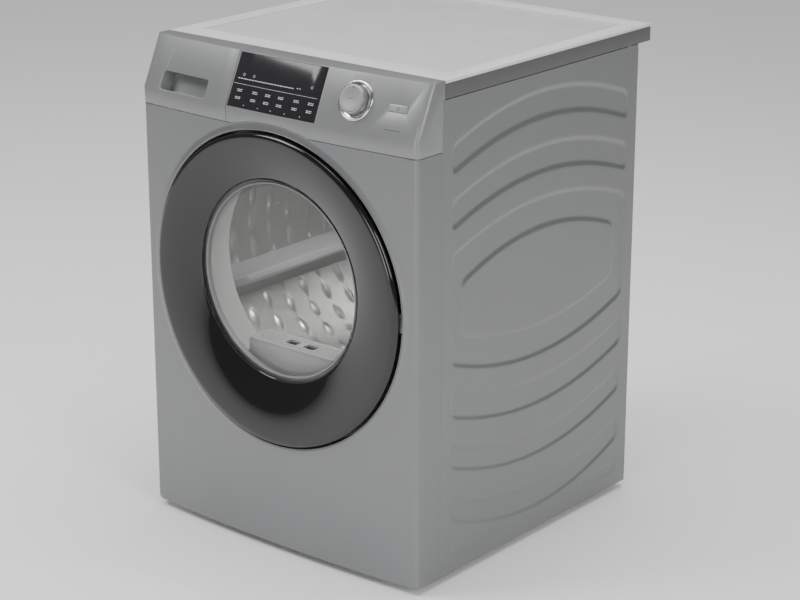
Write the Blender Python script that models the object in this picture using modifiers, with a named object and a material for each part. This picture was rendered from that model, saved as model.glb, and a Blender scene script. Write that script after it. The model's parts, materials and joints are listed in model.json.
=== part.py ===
"""Heat-pump clothes dryer with a round front door, a slanted control fascia and a condensate drawer.

Metres, +Z up, X to the right and Y towards the back. The origin is on the floor under the middle of
the cabinet. Every piece is one closed solid; whatever fits or follows another piece takes its place
from the same named value and a named clearance.
"""

import math

import bmesh
import bpy
from mathutils import Matrix, Vector

# ---------------------------------------------------------------- overall sizes
WIDTH = 0.595
HEIGHT = 0.845
DEPTH = 0.650            # from the crest of the door to the rear edge of the worktop
FOOT_HEIGHT = 0.012      # lower edge of the cabinet above the floor

# ---------------------------------------------------------------- walls and clearances
SHEET = 0.001            # steel sheet of the cabinet
PLASTIC = 0.0025         # moulded walls
TOUCH = 0.0004           # between pieces that seat on each other
SEAM = 0.0005            # visible seams of the casing
RUNNING = 0.00006        # radial, a shaft in its bore

# ---------------------------------------------------------------- casing
DOOR_STANDOFF = 0.022    # crest of the door ahead of the cabinet's front corners
FRONT_BOW = 0.0125       # how far the middle of the front bulges ahead of its corners
CORNER = 0.0080          # upright front corners
FRONT_RETURN = 0.060     # depth of the front panel's side walls
REAR_OVERHANG = 0.034    # worktop behind the rear panel
PANEL_FLANGE = 0.010
BASE_WALL = 0.022

# ---------------------------------------------------------------- worktop
WORKTOP_THICK = 0.030
WORKTOP_SETBACK = 0.067  # front edge of the worktop behind the front corners
RIM_SIDE = 0.0325
RIM_FRONT = 0.046
RIM_REAR = 0.035
TRAY_FLOOR = 0.004
BOARD_SUNK = 0.003

# ---------------------------------------------------------------- control fascia
FASCIA_HEIGHT = 0.112
CREASE_DROP = 0.085      # crease below the top edge
TOP_EDGE_BACK = 0.0378   # top edge behind the front corners
CREASE_AHEAD = 0.0015    # crease ahead of the front corners
BAND_AHEAD = 0.0002
DIAL_INSET = 0.1327      # dial's axis from the right side
DIAL_UP = 0.0485         # height up the slanted face
KNOB_RADIUS = 0.0235
KNOB_PROUD = 0.0150
BEZEL_RADIUS = 0.0330
KEY_INSET = 0.051
KEY_UP = 0.047
KEY_LENGTH = 0.035
KEY_WIDTH = 0.012
KEY_TRAVEL = 0.0015
DISPLAY_TO_DIAL = 0.0683
DRAWER_WIDTH = 0.203     # drawer front, from the left side
DISPLAY_THICK = 0.0015
GRIP_LENGTH = 0.108
GRIP_HEIGHT = 0.032
GRIP_DEPTH = 0.024
GRIP_INSET = 0.0975      # middle of the grip from the left side

# ---------------------------------------------------------------- door and flare
PLINTH = 0.176           # height kept below the door for the heat pump
TONGUE = 0.011           # how far the flare rises into the fascia's lower band
FLARE_SIDE = 0.0165
FLARE_WIDTH = 0.0107
RIM_RISE = 0.002         # rim of the flare ahead of the bowed front
RIM_THICK = 0.0017
DOOR_GAP = 0.0041
RECESS_DEPTH = 0.0255    # wall behind the door, behind the front corners
WINDOW_RISE = 0.0135     # window and drum sit higher than the door's middle
RING_WIDTH = 0.093       # mean width of the black ring round the window
RING_EDGE = 0.002        # thickness of the ring's outer edge
RING_CREST = 0.11        # place of the ring's crest, as a share of its width
RING_WALL = 0.003
WINDOW_BACK = 0.001      # window's edge behind the front corners
WINDOW_DOME = 0.0055
FRAME_INSET = 0.021
GLASS = 0.003
HINGE_HALF = 0.021       # half the height of the hinge bracket
PIN_RADIUS = 0.0014
KNUCKLE = 0.0031
DOOR_STEPS = 48

# ---------------------------------------------------------------- drum and drive
MOUTH_MARGIN = 0.0125    # mouth wider than the window
DRUM_SIDE_GAP = 0.0175
DRUM_SHEET = 0.001
DRUM_STEPS = 56
DRUM_FRONT_BACK = 0.102  # front edge of the drum behind the front corners
DRUM_REAR_GAP = 0.055    # drum's rear wall ahead of the rear panel
BELT_THICK = 0.0015
BELT_WIDTH = 0.010
PULLEY_RADIUS = 0.012
IDLER_RADIUS = 0.014
ROLLER_RADIUS = 0.022
ROLLER_ANGLE = math.radians(35)
LIFTER_HEIGHT = 0.052
LIFTER_ANGLES = {"lifter_1": 80.0, "lifter_2": 200.0, "lifter_3": 320.0}
SHAFT_RADIUS = 0.012
FELT_GAP = 0.003
BLOWER_RADIUS = 0.078

# ---------------------------------------------------------------- condensate drawer
TANK_LENGTH = 0.420
TANK_WALL = 0.002
TANK_OPENING = 0.060
SLEEVE_RISE = 0.024      # sleeve above the fascia's lower edge

# ---------------------------------------------------------------- lint filter
FILTER_HALF = 0.096
FILTER_DROP = 0.130      # rim of the filter's pocket below the mouth's axis
FILTER_DEEP = 0.112

# ---------------------------------------------------------------- worked out from the above
HALF = WIDTH / 2
FRONT = -DEPTH / 2
REAR = DEPTH / 2
CORNER_Y = FRONT + DOOR_STANDOFF
SEAM_Y = CORNER_Y + FRONT_RETURN
PANEL_REAR = REAR - REAR_OVERHANG
WORKTOP_Y = CORNER_Y + WORKTOP_SETBACK
WORKTOP_Z = HEIGHT - WORKTOP_THICK
BAND_Z = HEIGHT - FASCIA_HEIGHT
CREASE_Z = HEIGHT - CREASE_DROP
CREASE_Y = CORNER_Y - CREASE_AHEAD
TOP_EDGE_Y = CORNER_Y + TOP_EDGE_BACK
BASE_TOP = FOOT_HEIGHT + BASE_WALL

FLARE_RADIUS = min(HALF - FLARE_SIDE, (BAND_Z + TONGUE - PLINTH) / 2)
DOOR_Z = BAND_Z + TONGUE - FLARE_RADIUS
RIM_RADIUS = FLARE_RADIUS - FLARE_WIDTH
BARREL_RADIUS = RIM_RADIUS - RIM_THICK
DOOR_RADIUS = BARREL_RADIUS - DOOR_GAP
RECESS_Y = CORNER_Y + RECESS_DEPTH
AXIS_Z = DOOR_Z + WINDOW_RISE
WINDOW_RADIUS = DOOR_RADIUS - RING_WIDTH
FRAME_RADIUS = DOOR_RADIUS - FRAME_INSET
MOUTH_RADIUS = WINDOW_RADIUS + MOUTH_MARGIN
WINDOW_Y = CORNER_Y + WINDOW_BACK
RING_LIP = 0.0003                    # back of the ring's outer edge ahead of the rim
FRAME_BACK = RECESS_Y - 0.0105       # back of the door's inner frame
BOWL_BACK = RECESS_Y + 0.0070        # deepest point of the door's glass bowl

DRAWER_EDGE = -HALF + DRAWER_WIDTH
DIAL_X = HALF - DIAL_INSET
KEY_X = HALF - KEY_INSET
DISPLAY_LEFT = DRAWER_EDGE + 0.0025
DISPLAY_RIGHT = DIAL_X - DISPLAY_TO_DIAL

SLEEVE_Z = BAND_Z + SLEEVE_RISE
SLEEVE_EDGE = DRAWER_EDGE - 0.0025
DRUM_RADIUS = min(
    HALF - DRUM_SIDE_GAP,
    math.hypot(SLEEVE_Z - 0.004 - AXIS_Z, SLEEVE_EDGE) - 2 * BELT_THICK,
    AXIS_Z - PLINTH - 0.028,
)
DRUM_FRONT = CORNER_Y + DRUM_FRONT_BACK
DRUM_REAR = PANEL_REAR - DRUM_REAR_GAP
DISC_BACK = DRUM_FRONT - 0.0135      # drum side of the front bulkhead
DISC_FRONT = DISC_BACK - 0.005
FILTER_RIM = AXIS_Z - min(FILTER_DROP, 0.73 * MOUTH_RADIUS)
FILTER_X = min(FILTER_HALF, 0.54 * MOUTH_RADIUS)
MOTOR_Z = FOOT_HEIGHT + 0.103
MOTOR_Y = PANEL_REAR - 0.231         # front face of the motor
BELT_Y = MOTOR_Y - 0.0275
FLOOR = FOOT_HEIGHT + 0.003 + TOUCH  # what stands in the base pan

# ---------------------------------------------------------------- materials: colour, metallic, roughness
FINISHES = {
    "silver_paint": ((0.23, 0.235, 0.24), 0.55, 0.38),
    "fascia_silver": ((0.33, 0.335, 0.34), 0.45, 0.36),
    "worktop_rim": ((0.62, 0.62, 0.61), 0.0, 0.45),
    "worktop_board": ((0.52, 0.52, 0.51), 0.0, 0.55),
    "black_gloss": ((0.012, 0.012, 0.013), 0.0, 0.08),
    "smoked_glass": ((0.05, 0.05, 0.055), 0.0, 0.04),
    "display_black": ((0.015, 0.015, 0.017), 0.0, 0.12),
    "clear_glass": ((0.75, 0.80, 0.80), 0.0, 0.03),
    "chrome": ((0.75, 0.75, 0.76), 1.0, 0.12),
    "grey_plastic": ((0.36, 0.36, 0.36), 0.0, 0.5),
    "light_plastic": ((0.58, 0.58, 0.57), 0.0, 0.5),
    "dark_plastic": ((0.04, 0.04, 0.042), 0.0, 0.55),
    "stainless": ((0.50, 0.50, 0.49), 1.0, 0.32),
    "galvanised": ((0.45, 0.46, 0.47), 0.9, 0.45),
    "rubber": ((0.03, 0.03, 0.03), 0.0, 0.8),
    "cast": ((0.05, 0.05, 0.055), 0.3, 0.55),
    "copper": ((0.62, 0.32, 0.18), 1.0, 0.35),
    "board_green": ((0.03, 0.12, 0.06), 0.0, 0.5),
}


# ================================================================ making and joining shapes
def clear_scene():
    for obj in list(bpy.data.objects):
        bpy.data.objects.remove(obj, do_unlink=True)


def new_collection(name):
    collection = bpy.data.collections.new(name)
    bpy.context.scene.collection.children.link(collection)
    return collection


clear_scene()
PARTS = new_collection("clothes_dryer")
CUTTERS = new_collection("cutters")


def material(finish):
    """The Principled material of a named finish, made once."""
    if finish in bpy.data.materials:
        return bpy.data.materials[finish]
    colour, metallic, roughness = FINISHES[finish]
    made = bpy.data.materials.new(finish)
    made.use_nodes = True
    shader = made.node_tree.nodes["Principled BSDF"]
    shader.inputs["Base Color"].default_value = (*colour, 1.0)
    shader.inputs["Metallic"].default_value = metallic
    shader.inputs["Roughness"].default_value = roughness
    made.diffuse_color = (*colour, 1.0)
    return made


def add_object(name, data, finish):
    """Links a piece to the parts, or a shape with no finish to the cutters."""
    obj = bpy.data.objects.new(name, data)
    if finish is None:
        CUTTERS.objects.link(obj)
        obj.hide_render = True
        obj.display_type = "WIRE"
    else:
        PARTS.objects.link(obj)
        data.materials.append(material(finish))
    return obj


def object_from(name, shape, finish):
    """A mesh object from a bmesh, smooth except at its sharp edges."""
    bmesh.ops.recalc_face_normals(shape, faces=shape.faces)
    mesh = bpy.data.meshes.new(name)
    shape.to_mesh(mesh)
    shape.free()
    mesh.shade_smooth()
    mesh.set_sharp_from_angle(angle=math.radians(35))
    return add_object(name, mesh, finish)


def block(name, low, high, finish=None, bevel=0.0):
    """A box between two corners, with its origin in its middle."""
    low, high = Vector(low), Vector(high)
    shape = bmesh.new()
    bmesh.ops.create_cube(shape, size=1.0)
    bmesh.ops.scale(shape, vec=high - low, verts=shape.verts)
    obj = object_from(name, shape, finish)
    obj.location = (low + high) / 2
    if bevel:
        edge = obj.modifiers.new("edges", "BEVEL")
        edge.width = bevel
        edge.segments = 2
    return obj


TURN = {"Z": (0.0, 0.0, 0.0), "Y": (math.pi / 2, 0.0, 0.0), "X": (math.pi / 2, 0.0, math.pi / 2)}


def signed_area(points):
    ahead = points[1:] + points[:1]
    return sum(a[0] * b[1] - b[0] * a[1] for a, b in zip(points, ahead)) / 2


def turned(name, profile, finish=None, at=(0.0, 0.0, 0.0), axis="Z", steps=32):
    """A Screw of (radius, place along the axis) points; along Y the places are world y."""
    points = [(r, -y) if axis == "Y" else (r, y) for r, y in profile]
    if signed_area(points) > 0:
        points.reverse()
    touches_axis = any(r == 0.0 for r, _ in points)
    if touches_axis:
        while not (points[0][0] == 0.0 and points[-1][0] == 0.0):
            points = points[1:] + points[:1]
    mesh = bpy.data.meshes.new(name)
    edges = [(i, i + 1) for i in range(len(points) - 1)]
    if not touches_axis:
        edges.append((len(points) - 1, 0))
    mesh.from_pydata([(r, 0.0, h) for r, h in points], edges, [])
    obj = add_object(name, mesh, finish)
    obj.location = at
    obj.rotation_euler = TURN[axis]
    screw = obj.modifiers.new("turn", "SCREW")
    screw.steps = steps
    screw.render_steps = steps
    screw.use_merge_vertices = True
    screw.merge_threshold = 0.00001
    return obj


def extruded(name, outlines, low, high, finish=None, axis="Z", frame=None):
    """Flat outlines (the first outside, the rest holes) carried from low to high along an axis or,
    with a frame, along that frame's Z. The filled curve is made a mesh with its caps welded on."""
    curve = bpy.data.curves.new(name, "CURVE")
    curve.dimensions = "2D"
    curve.fill_mode = "BOTH"
    curve.extrude = (high - low) / 2
    for outline in outlines:
        spline = curve.splines.new("POLY")
        spline.points.add(len(outline) - 1)
        for point, (u, v) in zip(spline.points, outline):
            point.co = (u, v, 0.0, 1.0)
        spline.use_cyclic_u = True
    helper = bpy.data.objects.new(name + "_outline", curve)
    PARTS.objects.link(helper)
    bpy.context.view_layer.update()
    graph = bpy.context.evaluated_depsgraph_get()
    mesh = bpy.data.meshes.new_from_object(helper.evaluated_get(graph))
    bpy.data.objects.remove(helper, do_unlink=True)
    bpy.data.curves.remove(curve)
    mesh.name = name
    shape = bmesh.new()
    shape.from_mesh(mesh)
    bpy.data.meshes.remove(mesh)
    bmesh.ops.remove_doubles(shape, verts=shape.verts, dist=0.000001)
    obj = object_from(name, shape, finish)
    middle = (low + high) / 2
    if frame is not None:
        obj.matrix_world = frame @ Matrix.Translation((0.0, 0.0, middle))
        return obj
    obj.rotation_euler = TURN[axis]
    obj.location = {"Z": (0, 0, middle), "Y": (0, middle, 0), "X": (middle, 0, 0)}[axis]
    return obj


def lofted(name, rings, finish=None, closed_both_ways=False):
    """Faces between equal rings of points: end caps on a bar, none where the last ring meets the first."""
    shape = bmesh.new()
    rows = [[shape.verts.new(p) for p in ring] for ring in rings]
    pairs = list(zip(rows, rows[1:]))
    if closed_both_ways:
        pairs.append((rows[-1], rows[0]))
    else:
        shape.faces.new(rows[0])
        shape.faces.new(rows[-1])
    for first, second in pairs:
        for i in range(len(first)):
            j = (i + 1) % len(first)
            shape.faces.new((first[i], first[j], second[j], second[i]))
    return object_from(name, shape, finish)


def combine(obj, other, operation="DIFFERENCE"):
    """Cuts or joins with an exact Boolean; the other shape stays as a hidden helper."""
    boolean = obj.modifiers.new(operation.lower(), "BOOLEAN")
    boolean.operation = operation
    boolean.solver = "EXACT"
    boolean.object = other
    return obj


def circle(radius, centre=(0.0, 0.0), steps=32, start=0.0, end=2 * math.pi):
    whole = abs(end - start - 2 * math.pi) < 1e-9
    count = steps if whole else steps + 1
    turns = [start + (end - start) * i / steps for i in range(count)]
    return [(centre[0] + radius * math.cos(a), centre[1] + radius * math.sin(a)) for a in turns]


def rounded_rectangle(low, high, radius, steps=4):
    corners = [
        (high[0] - radius, high[1] - radius, 0),
        (low[0] + radius, high[1] - radius, 1),
        (low[0] + radius, low[1] + radius, 2),
        (high[0] - radius, low[1] + radius, 3),
    ]
    outline = []
    for x, y, quarter in corners:
        start = quarter * math.pi / 2
        outline += circle(radius, (x, y), steps, start, start + math.pi / 2)
    return outline


def pivot_at(obj, point):
    """Moves the origin of a piece that is neither turned nor scaled, and leaves its shape in place."""
    shift = obj.location - Vector(point)
    obj.data.transform(Matrix.Translation(shift))
    obj.location = point


def joint_empty(name, point, pieces):
    """An empty on a joint's axis, the parent of the pieces that move on it."""
    empty = bpy.data.objects.new(name, None)
    empty.location = point
    empty.empty_display_size = 0.03
    PARTS.objects.link(empty)
    for piece in pieces:
        piece.parent = empty
        piece.matrix_parent_inverse = Matrix.Translation(-Vector(point))


# ================================================================ the bowed front and its slanted face
def bow(x):
    """How far the front stands ahead of its corners, a parabola across the width."""
    return FRONT_BOW * (1 - (x / HALF) ** 2)


def front_shift(x):
    """Shift along y at x: the bow, and the fall away round the upright corner."""
    past = abs(x) - (HALF - CORNER)
    fall = 0.0
    if past > 0:
        fall = CORNER - math.sqrt(max(CORNER**2 - past**2, 0.0))
    return fall - bow(x)


def corner_stations(side, turns=(30, 60, 90)):
    return [side * (HALF - CORNER + CORNER * math.sin(math.radians(a))) for a in turns]


def stations(start, end, count=9):
    """Places across the width, closer together round an upright corner."""
    first = max(start, -HALF + CORNER)
    last = min(end, HALF - CORNER)
    across = [first + (last - first) * i / (count - 1) for i in range(count)]
    left = corner_stations(-1)[::-1] if start <= -HALF else []
    right = corner_stations(1) if end >= HALF else []
    return left + across + right


SLANT = Vector((0.0, TOP_EDGE_Y - CREASE_Y, HEIGHT - CREASE_Z))
SLANT_LENGTH = SLANT.length
UP = SLANT.normalized()
SLANT_WALL = PLASTIC * SLANT_LENGTH / CREASE_DROP


def face_frame(x, up):
    """Frame on the slanted face: X across, Y up the slope, Z straight out of the bowed face."""
    across = Vector((1.0, 2 * FRONT_BOW * x / HALF**2, 0.0)).normalized()
    out = across.cross(UP).normalized()
    rise = out.cross(across)
    place = Vector((x, CREASE_Y - bow(x), CREASE_Z)) + UP * up
    frame = Matrix((across, rise, out)).transposed().to_4x4()
    return Matrix.Translation(place) @ frame


def slant_strip(name, x_range, up_range, out_range, finish=None):
    """A plate that follows the bow of the slanted face."""
    rings = []
    for i in range(7):
        x = x_range[0] + (x_range[1] - x_range[0]) * i / 6
        frame = face_frame(x, 0.0)
        corners = [(0, 0), (1, 0), (1, 1), (0, 1)]
        rings.append([frame @ Vector((0.0, up_range[u], out_range[o])) for u, o in corners])
    return lofted(name, rings, finish)


def fascia_bar(name, start, end, finish=None):
    """The whole section of the fascia between two places across the width."""
    rings = []
    for x in stations(start, end):
        shift = front_shift(x)
        rings.append([
            (x, CORNER_Y - BAND_AHEAD + shift, BAND_Z + SEAM),
            (x, CREASE_Y + shift, CREASE_Z),
            (x, TOP_EDGE_Y + shift, HEIGHT),
            (x, WORKTOP_Y - SEAM - 0.001, HEIGHT),
            (x, WORKTOP_Y - SEAM - 0.001, WORKTOP_Z),
            (x, SEAM_Y - SEAM, WORKTOP_Z),
            (x, SEAM_Y - SEAM, BAND_Z + SEAM),
        ])
    return lofted(name, rings, finish)


def fascia_hollow(name, start, end):
    """What leaves the fascia's skin, top strip and end walls; open at the back and below."""
    rings = []
    inset = 0.010
    top = HEIGHT - PLASTIC
    slope = (CREASE_Y - TOP_EDGE_Y) / CREASE_DROP
    for i in range(9):
        x = start + (end - start) * i / 8
        shift = front_shift(x)
        rings.append([
            (x, CORNER_Y - BAND_AHEAD + SLANT_WALL + shift, BAND_Z - inset),
            (x, CREASE_Y + SLANT_WALL + shift, CREASE_Z),
            (x, TOP_EDGE_Y + SLANT_WALL + slope * PLASTIC + shift, top),
            (x, WORKTOP_Y + inset, top),
            (x, WORKTOP_Y + inset, BAND_Z - inset),
        ])
    return lofted(name, rings)


# ================================================================ casing
def build_base_pan():
    half = HALF - PANEL_FLANGE - 0.001
    low = Vector((-half, CORNER_Y + 0.003, FOOT_HEIGHT))
    high = Vector((half, PANEL_REAR - 0.003, BASE_TOP))
    pan = block("base_pan", low, high, "galvanised")
    wall = Vector((PLASTIC, PLASTIC, 0.003))
    combine(pan, block("base_hollow", low + wall, high + Vector((-PLASTIC, -PLASTIC, 0.01))))
    for name, (x, y) in FOOT_PLACES.items():
        hole = turned(name + "_hole", [(0.0, 0.0), (0.0045, 0.0), (0.0045, 0.04), (0.0, 0.04)],
                      at=(x, y, FOOT_HEIGHT - 0.01), steps=16)
        combine(pan, hole)


FOOT_PLACES = {
    "foot_front_left": (-HALF + 0.0425, CORNER_Y + 0.052),
    "foot_front_right": (HALF - 0.0425, CORNER_Y + 0.052),
    "foot_rear_left": (-HALF + 0.0425, PANEL_REAR - 0.046),
    "foot_rear_right": (HALF - 0.0425, PANEL_REAR - 0.046),
}


def build_feet():
    """Screw feet: a round pad under a stud that runs up through the base pan."""
    pad = FOOT_HEIGHT - 0.0022
    profile = [(0.0, BASE_TOP), (0.0035, BASE_TOP), (0.004, BASE_TOP - 0.0005), (0.004, pad),
               (0.017, pad), (0.020, pad - 0.003), (0.020, 0.001), (0.019, 0.0), (0.0, 0.0)]
    for name, (x, y) in FOOT_PLACES.items():
        turned(name, profile, "rubber", at=(x, y, 0.0), steps=20)


def build_side_panels():
    """Folded steel side walls with a flange at the front and at the rear."""
    front = SEAM_Y + SEAM
    inner = HALF - SHEET
    outline = [
        (HALF, front), (HALF, PANEL_REAR), (HALF - PANEL_FLANGE - 0.004, PANEL_REAR),
        (HALF - PANEL_FLANGE - 0.004, PANEL_REAR - SHEET), (inner, PANEL_REAR - SHEET),
        (inner, front + SHEET), (HALF - PANEL_FLANGE, front + SHEET), (HALF - PANEL_FLANGE, front),
    ]
    for name, side in (("side_panel_right", 1), ("side_panel_left", -1)):
        mirrored = [(side * x, y) for x, y in outline]
        extruded(name, [mirrored], FOOT_HEIGHT + SEAM, WORKTOP_Z - SEAM, "silver_paint")


def build_front_panel():
    """Bowed sheet with side returns, its round flare, and the recess that the door closes into."""
    outer = [(x, CORNER_Y + front_shift(x)) for x in stations(-HALF, HALF, 15)]
    inner_half = HALF - SHEET
    inner = [(x * inner_half / HALF, y + SHEET) for x, y in outer][::-1]
    outline = [(-HALF, SEAM_Y - SEAM)] + outer + [(HALF, SEAM_Y - SEAM)]
    outline += [(inner_half, SEAM_Y - SEAM)] + inner + [(-inner_half, SEAM_Y - SEAM)]
    tongue_top = DOOR_Z + FLARE_RADIUS + 0.004
    panel = extruded("front_panel", [outline], FOOT_HEIGHT + SEAM, tongue_top, "silver_paint")

    combine(panel, disc("front_panel_hole", RIM_RADIUS + 0.003))

    flare = lofted("flare_and_recess", flare_rings(), closed_both_ways=True)
    combine(panel, flare, "UNION")
    trim = block("above_front_panel", (-HALF - 0.01, FRONT - 0.02, BAND_Z - SEAM),
                 (HALF + 0.01, SEAM_Y + 0.02, HEIGHT))
    combine(trim, disc("tongue_keep", FLARE_RADIUS + 0.0008))
    combine(panel, trim)
    slot = block("latch_slot", (LATCH_X - 0.011, RECESS_Y - 0.01, DOOR_Z - 0.012),
                 (LATCH_X + 0.011, RECESS_Y + 0.01, DOOR_Z + 0.012))
    combine(panel, slot)
    pocket = circle(KNUCKLE + 0.0005, (HINGE_X, HINGE_Y), 16)
    combine(panel, extruded("hinge_pocket", [pocket], DOOR_Z - HINGE_HALF - 0.0035, DOOR_Z + HINGE_HALF + 0.0035))
    arm_half = HINGE_HALF - 0.0045
    combine(panel, block("arm_notch", (BARREL_RADIUS - 0.004, FRONT, DOOR_Z - arm_half),
                         (HINGE_X + 0.0012, HINGE_Y, DOOR_Z + arm_half)))


def concentric(radius, y, centre):
    """Circle of points in an upright plane; y is one place, or a function of x where it follows the bow."""
    turns = [2 * math.pi * i / DOOR_STEPS for i in range(DOOR_STEPS)]
    across = [radius * math.cos(a) for a in turns]
    places = [y(x) if callable(y) else y for x in across]
    return [(x, place, centre + radius * math.sin(a)) for x, place, a in zip(across, places, turns)]


def bowed(back):
    """Place along y as a function of x: so far behind the bowed front."""
    return lambda x: CORNER_Y + back - bow(x)


def flare_rings():
    """Slope up to the rim, the rim, the round wall behind it, and the recess wall out to the mouth."""
    rim = -RIM_RISE
    barrel = BARREL_RADIUS + RIM_THICK
    outer = FLARE_RADIUS + 0.0004
    hole = MOUTH_RADIUS + 0.002
    return [
        concentric(BARREL_RADIUS, bowed(rim + 0.0003), DOOR_Z),
        concentric(BARREL_RADIUS + 0.0006, bowed(rim), DOOR_Z),
        concentric(RIM_RADIUS, bowed(rim), DOOR_Z),
        concentric((RIM_RADIUS + FLARE_RADIUS) / 2, bowed(rim * 0.62), DOOR_Z),
        concentric(outer, bowed(0.0003), DOOR_Z),
        concentric(outer, bowed(0.0007), DOOR_Z),
        concentric(RIM_RADIUS + 0.003, bowed(0.0006), DOOR_Z),
        concentric(barrel, bowed(rim + 0.003), DOOR_Z),
        concentric(barrel, RECESS_Y + 0.0015, DOOR_Z),
        concentric(hole, RECESS_Y + 0.0015, AXIS_Z),
        concentric(hole, RECESS_Y, AXIS_Z),
        concentric(BARREL_RADIUS, RECESS_Y, DOOR_Z),
    ]


LATCH_X = -(FRAME_RADIUS - 0.010)


def disc(name, radius):
    """Cutter through the whole front round the door's axis."""
    front, back = FRONT - 0.03, RECESS_Y + 0.006
    profile = [(0.0, front), (radius, front), (radius, back), (0.0, back)]
    return turned(name, profile, at=(0, 0, DOOR_Z), axis="Y", steps=2 * DOOR_STEPS)


def build_rear_panel():
    y = PANEL_REAR + TOUCH
    block("rear_panel", (-HALF + 0.0015, y, FOOT_HEIGHT + 0.012),
          (HALF - 0.0015, y + SHEET, WORKTOP_Z - 0.008), "galvanised")


def build_rear_duct_cover():
    """Pressed dish on the rear panel that leads warm air up to the drum."""
    low = (-HALF + 0.1075, AXIS_Z - 0.367)
    high = (HALF - 0.1075, AXIS_Z + 0.223)
    high = (high[0], min(high[1], WORKTOP_Z - 0.03))
    low = (low[0], max(low[1], BASE_TOP + 0.01))
    start = PANEL_REAR + 2 * TOUCH + SHEET
    back = REAR - 0.013
    cover = extruded("rear_duct_cover", [rounded_rectangle(low, high, 0.09, 6)], start, back,
                     "galvanised", "Y")
    wall = SHEET
    inner = rounded_rectangle((low[0] + wall, low[1] + wall), (high[0] - wall, high[1] - wall), 0.089, 6)
    combine(cover, extruded("duct_hollow", [inner], start - 0.01, back - wall, axis="Y"))


def build_worktop():
    """Moulded tray with a broad rim, the board sunk in it, and two hooks under the rear overhang."""
    low = Vector((-HALF, WORKTOP_Y, WORKTOP_Z + SEAM))
    high = Vector((HALF, REAR, HEIGHT))
    tray = block("worktop_frame", low, high, "worktop_rim")
    board_low = Vector((-HALF + RIM_SIDE, WORKTOP_Y + RIM_FRONT, low.z + TRAY_FLOOR))
    board_high = Vector((HALF - RIM_SIDE, REAR - RIM_REAR, HEIGHT))
    combine(tray, block("board_recess", board_low, board_high + Vector((0, 0, 0.01))))
    gap = Vector((TOUCH, TOUCH, TOUCH))
    block("worktop_board", board_low + gap,
          board_high - Vector((TOUCH, TOUCH, BOARD_SUNK)), "worktop_board")
    top = WORKTOP_Z + 2 * SEAM
    hook = [(REAR - 0.0005, top), (REAR - 0.0005, top - 0.009), (REAR - 0.004, top - 0.020),
            (REAR - 0.0065, top - 0.020), (REAR - 0.018, top)]
    for name, x in (("hook_right", HALF - 0.030), ("hook_left", -HALF + 0.030)):
        combine(tray, extruded(name, [hook], x - 0.004, x + 0.004, axis="X"), "UNION")


def build_cord_gland():
    y = PANEL_REAR + 2 * TOUCH + SHEET
    turned("cord_gland", [(0.004, y), (0.011, y), (0.011, y + 0.003), (0.0075, y + 0.004),
                          (0.006, y + 0.016), (0.004, y + 0.016)],
           "dark_plastic", at=(HALF - 0.0525, 0, FOOT_HEIGHT + 0.098), axis="Y", steps=20)


# ================================================================ fascia, display and controls
def build_control_fascia():
    start = DRAWER_EDGE + SEAM
    fascia = fascia_bar("control_fascia", start, HALF, "fascia_silver")
    combine(fascia, fascia_hollow("fascia_hollow", start + PLASTIC, HALF - PLASTIC))
    combine(fascia, disc("fascia_arc", FLARE_RADIUS + 0.0014))
    up = (0.0015, SLANT_LENGTH - 0.0020)
    depth = DISPLAY_THICK + TOUCH
    pocket = slant_strip("display_pocket", (DISPLAY_LEFT - TOUCH, DISPLAY_RIGHT + TOUCH),
                         (up[0] - TOUCH, up[1] + TOUCH), (-depth, 0.004))
    combine(fascia, pocket)
    slant_strip("display_glass", (DISPLAY_LEFT, DISPLAY_RIGHT), up, (-DISPLAY_THICK, 0.0), "display_black")
    dial = face_frame(DIAL_X, DIAL_UP)
    combine(fascia, extruded("dial_hole", [circle(0.0062, steps=20)], -0.01, 0.01, frame=dial))
    key = face_frame(KEY_X, KEY_UP)
    combine(fascia, extruded("key_hole", [key_outline(0.0004)], -0.01, 0.01, frame=key))


def key_outline(grow):
    half = (KEY_LENGTH / 2 + grow, KEY_WIDTH / 2 + grow)
    return rounded_rectangle((-half[0], -half[1]), half, 0.0025 + grow, 4)


def build_controls():
    """Dial in its bezel, the power key, and the board behind them."""
    dial = face_frame(DIAL_X, DIAL_UP)
    bezel = turned("dial_bezel", [
        (KNOB_RADIUS + 0.0012, 0.0003), (BEZEL_RADIUS, 0.0003), (BEZEL_RADIUS, 0.0012),
        (BEZEL_RADIUS - 0.0025, 0.0034), (KNOB_RADIUS + 0.0030, 0.0026), (KNOB_RADIUS + 0.0012, 0.0010),
    ], "chrome", steps=32)
    bezel.matrix_world = dial
    knob = turned("dial_knob", [
        (0.0, KNOB_PROUD - 0.0006), (KNOB_RADIUS - 0.003, KNOB_PROUD), (KNOB_RADIUS - 0.001, KNOB_PROUD - 0.001),
        (KNOB_RADIUS, KNOB_PROUD - 0.0030), (KNOB_RADIUS, 0.0008), (0.005, 0.0008), (0.005, -0.010), (0.0, -0.010),
    ], "fascia_silver", steps=32)
    knob.matrix_world = dial
    key = face_frame(KEY_X, KEY_UP)
    button = extruded("power_button", [key_outline(0.0)], -0.0030, 0.0006, "fascia_silver", frame=key)
    stem = extruded("key_stem", [circle(0.002, steps=12)], -0.009, -0.002, frame=key)
    combine(button, stem, "UNION")
    board = face_frame((DISPLAY_LEFT + HALF) / 2, 0.0)
    half = (HALF - DISPLAY_LEFT) / 2 - 0.022
    outline = rounded_rectangle((-half, 0.010), (half, SLANT_LENGTH - 0.012), 0.003, 2)
    extruded("control_board", [outline], -0.0165, -0.0150, "board_green", frame=board)


# ================================================================ condensate drawer
def tank_box():
    low = Vector((-HALF + 0.0115, SEAM_Y + TOUCH, SLEEVE_Z + 0.003))
    high = Vector((SLEEVE_EDGE - 0.004, SEAM_Y + TOUCH + TANK_LENGTH, WORKTOP_Z - 0.0075))
    return low, high


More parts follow.
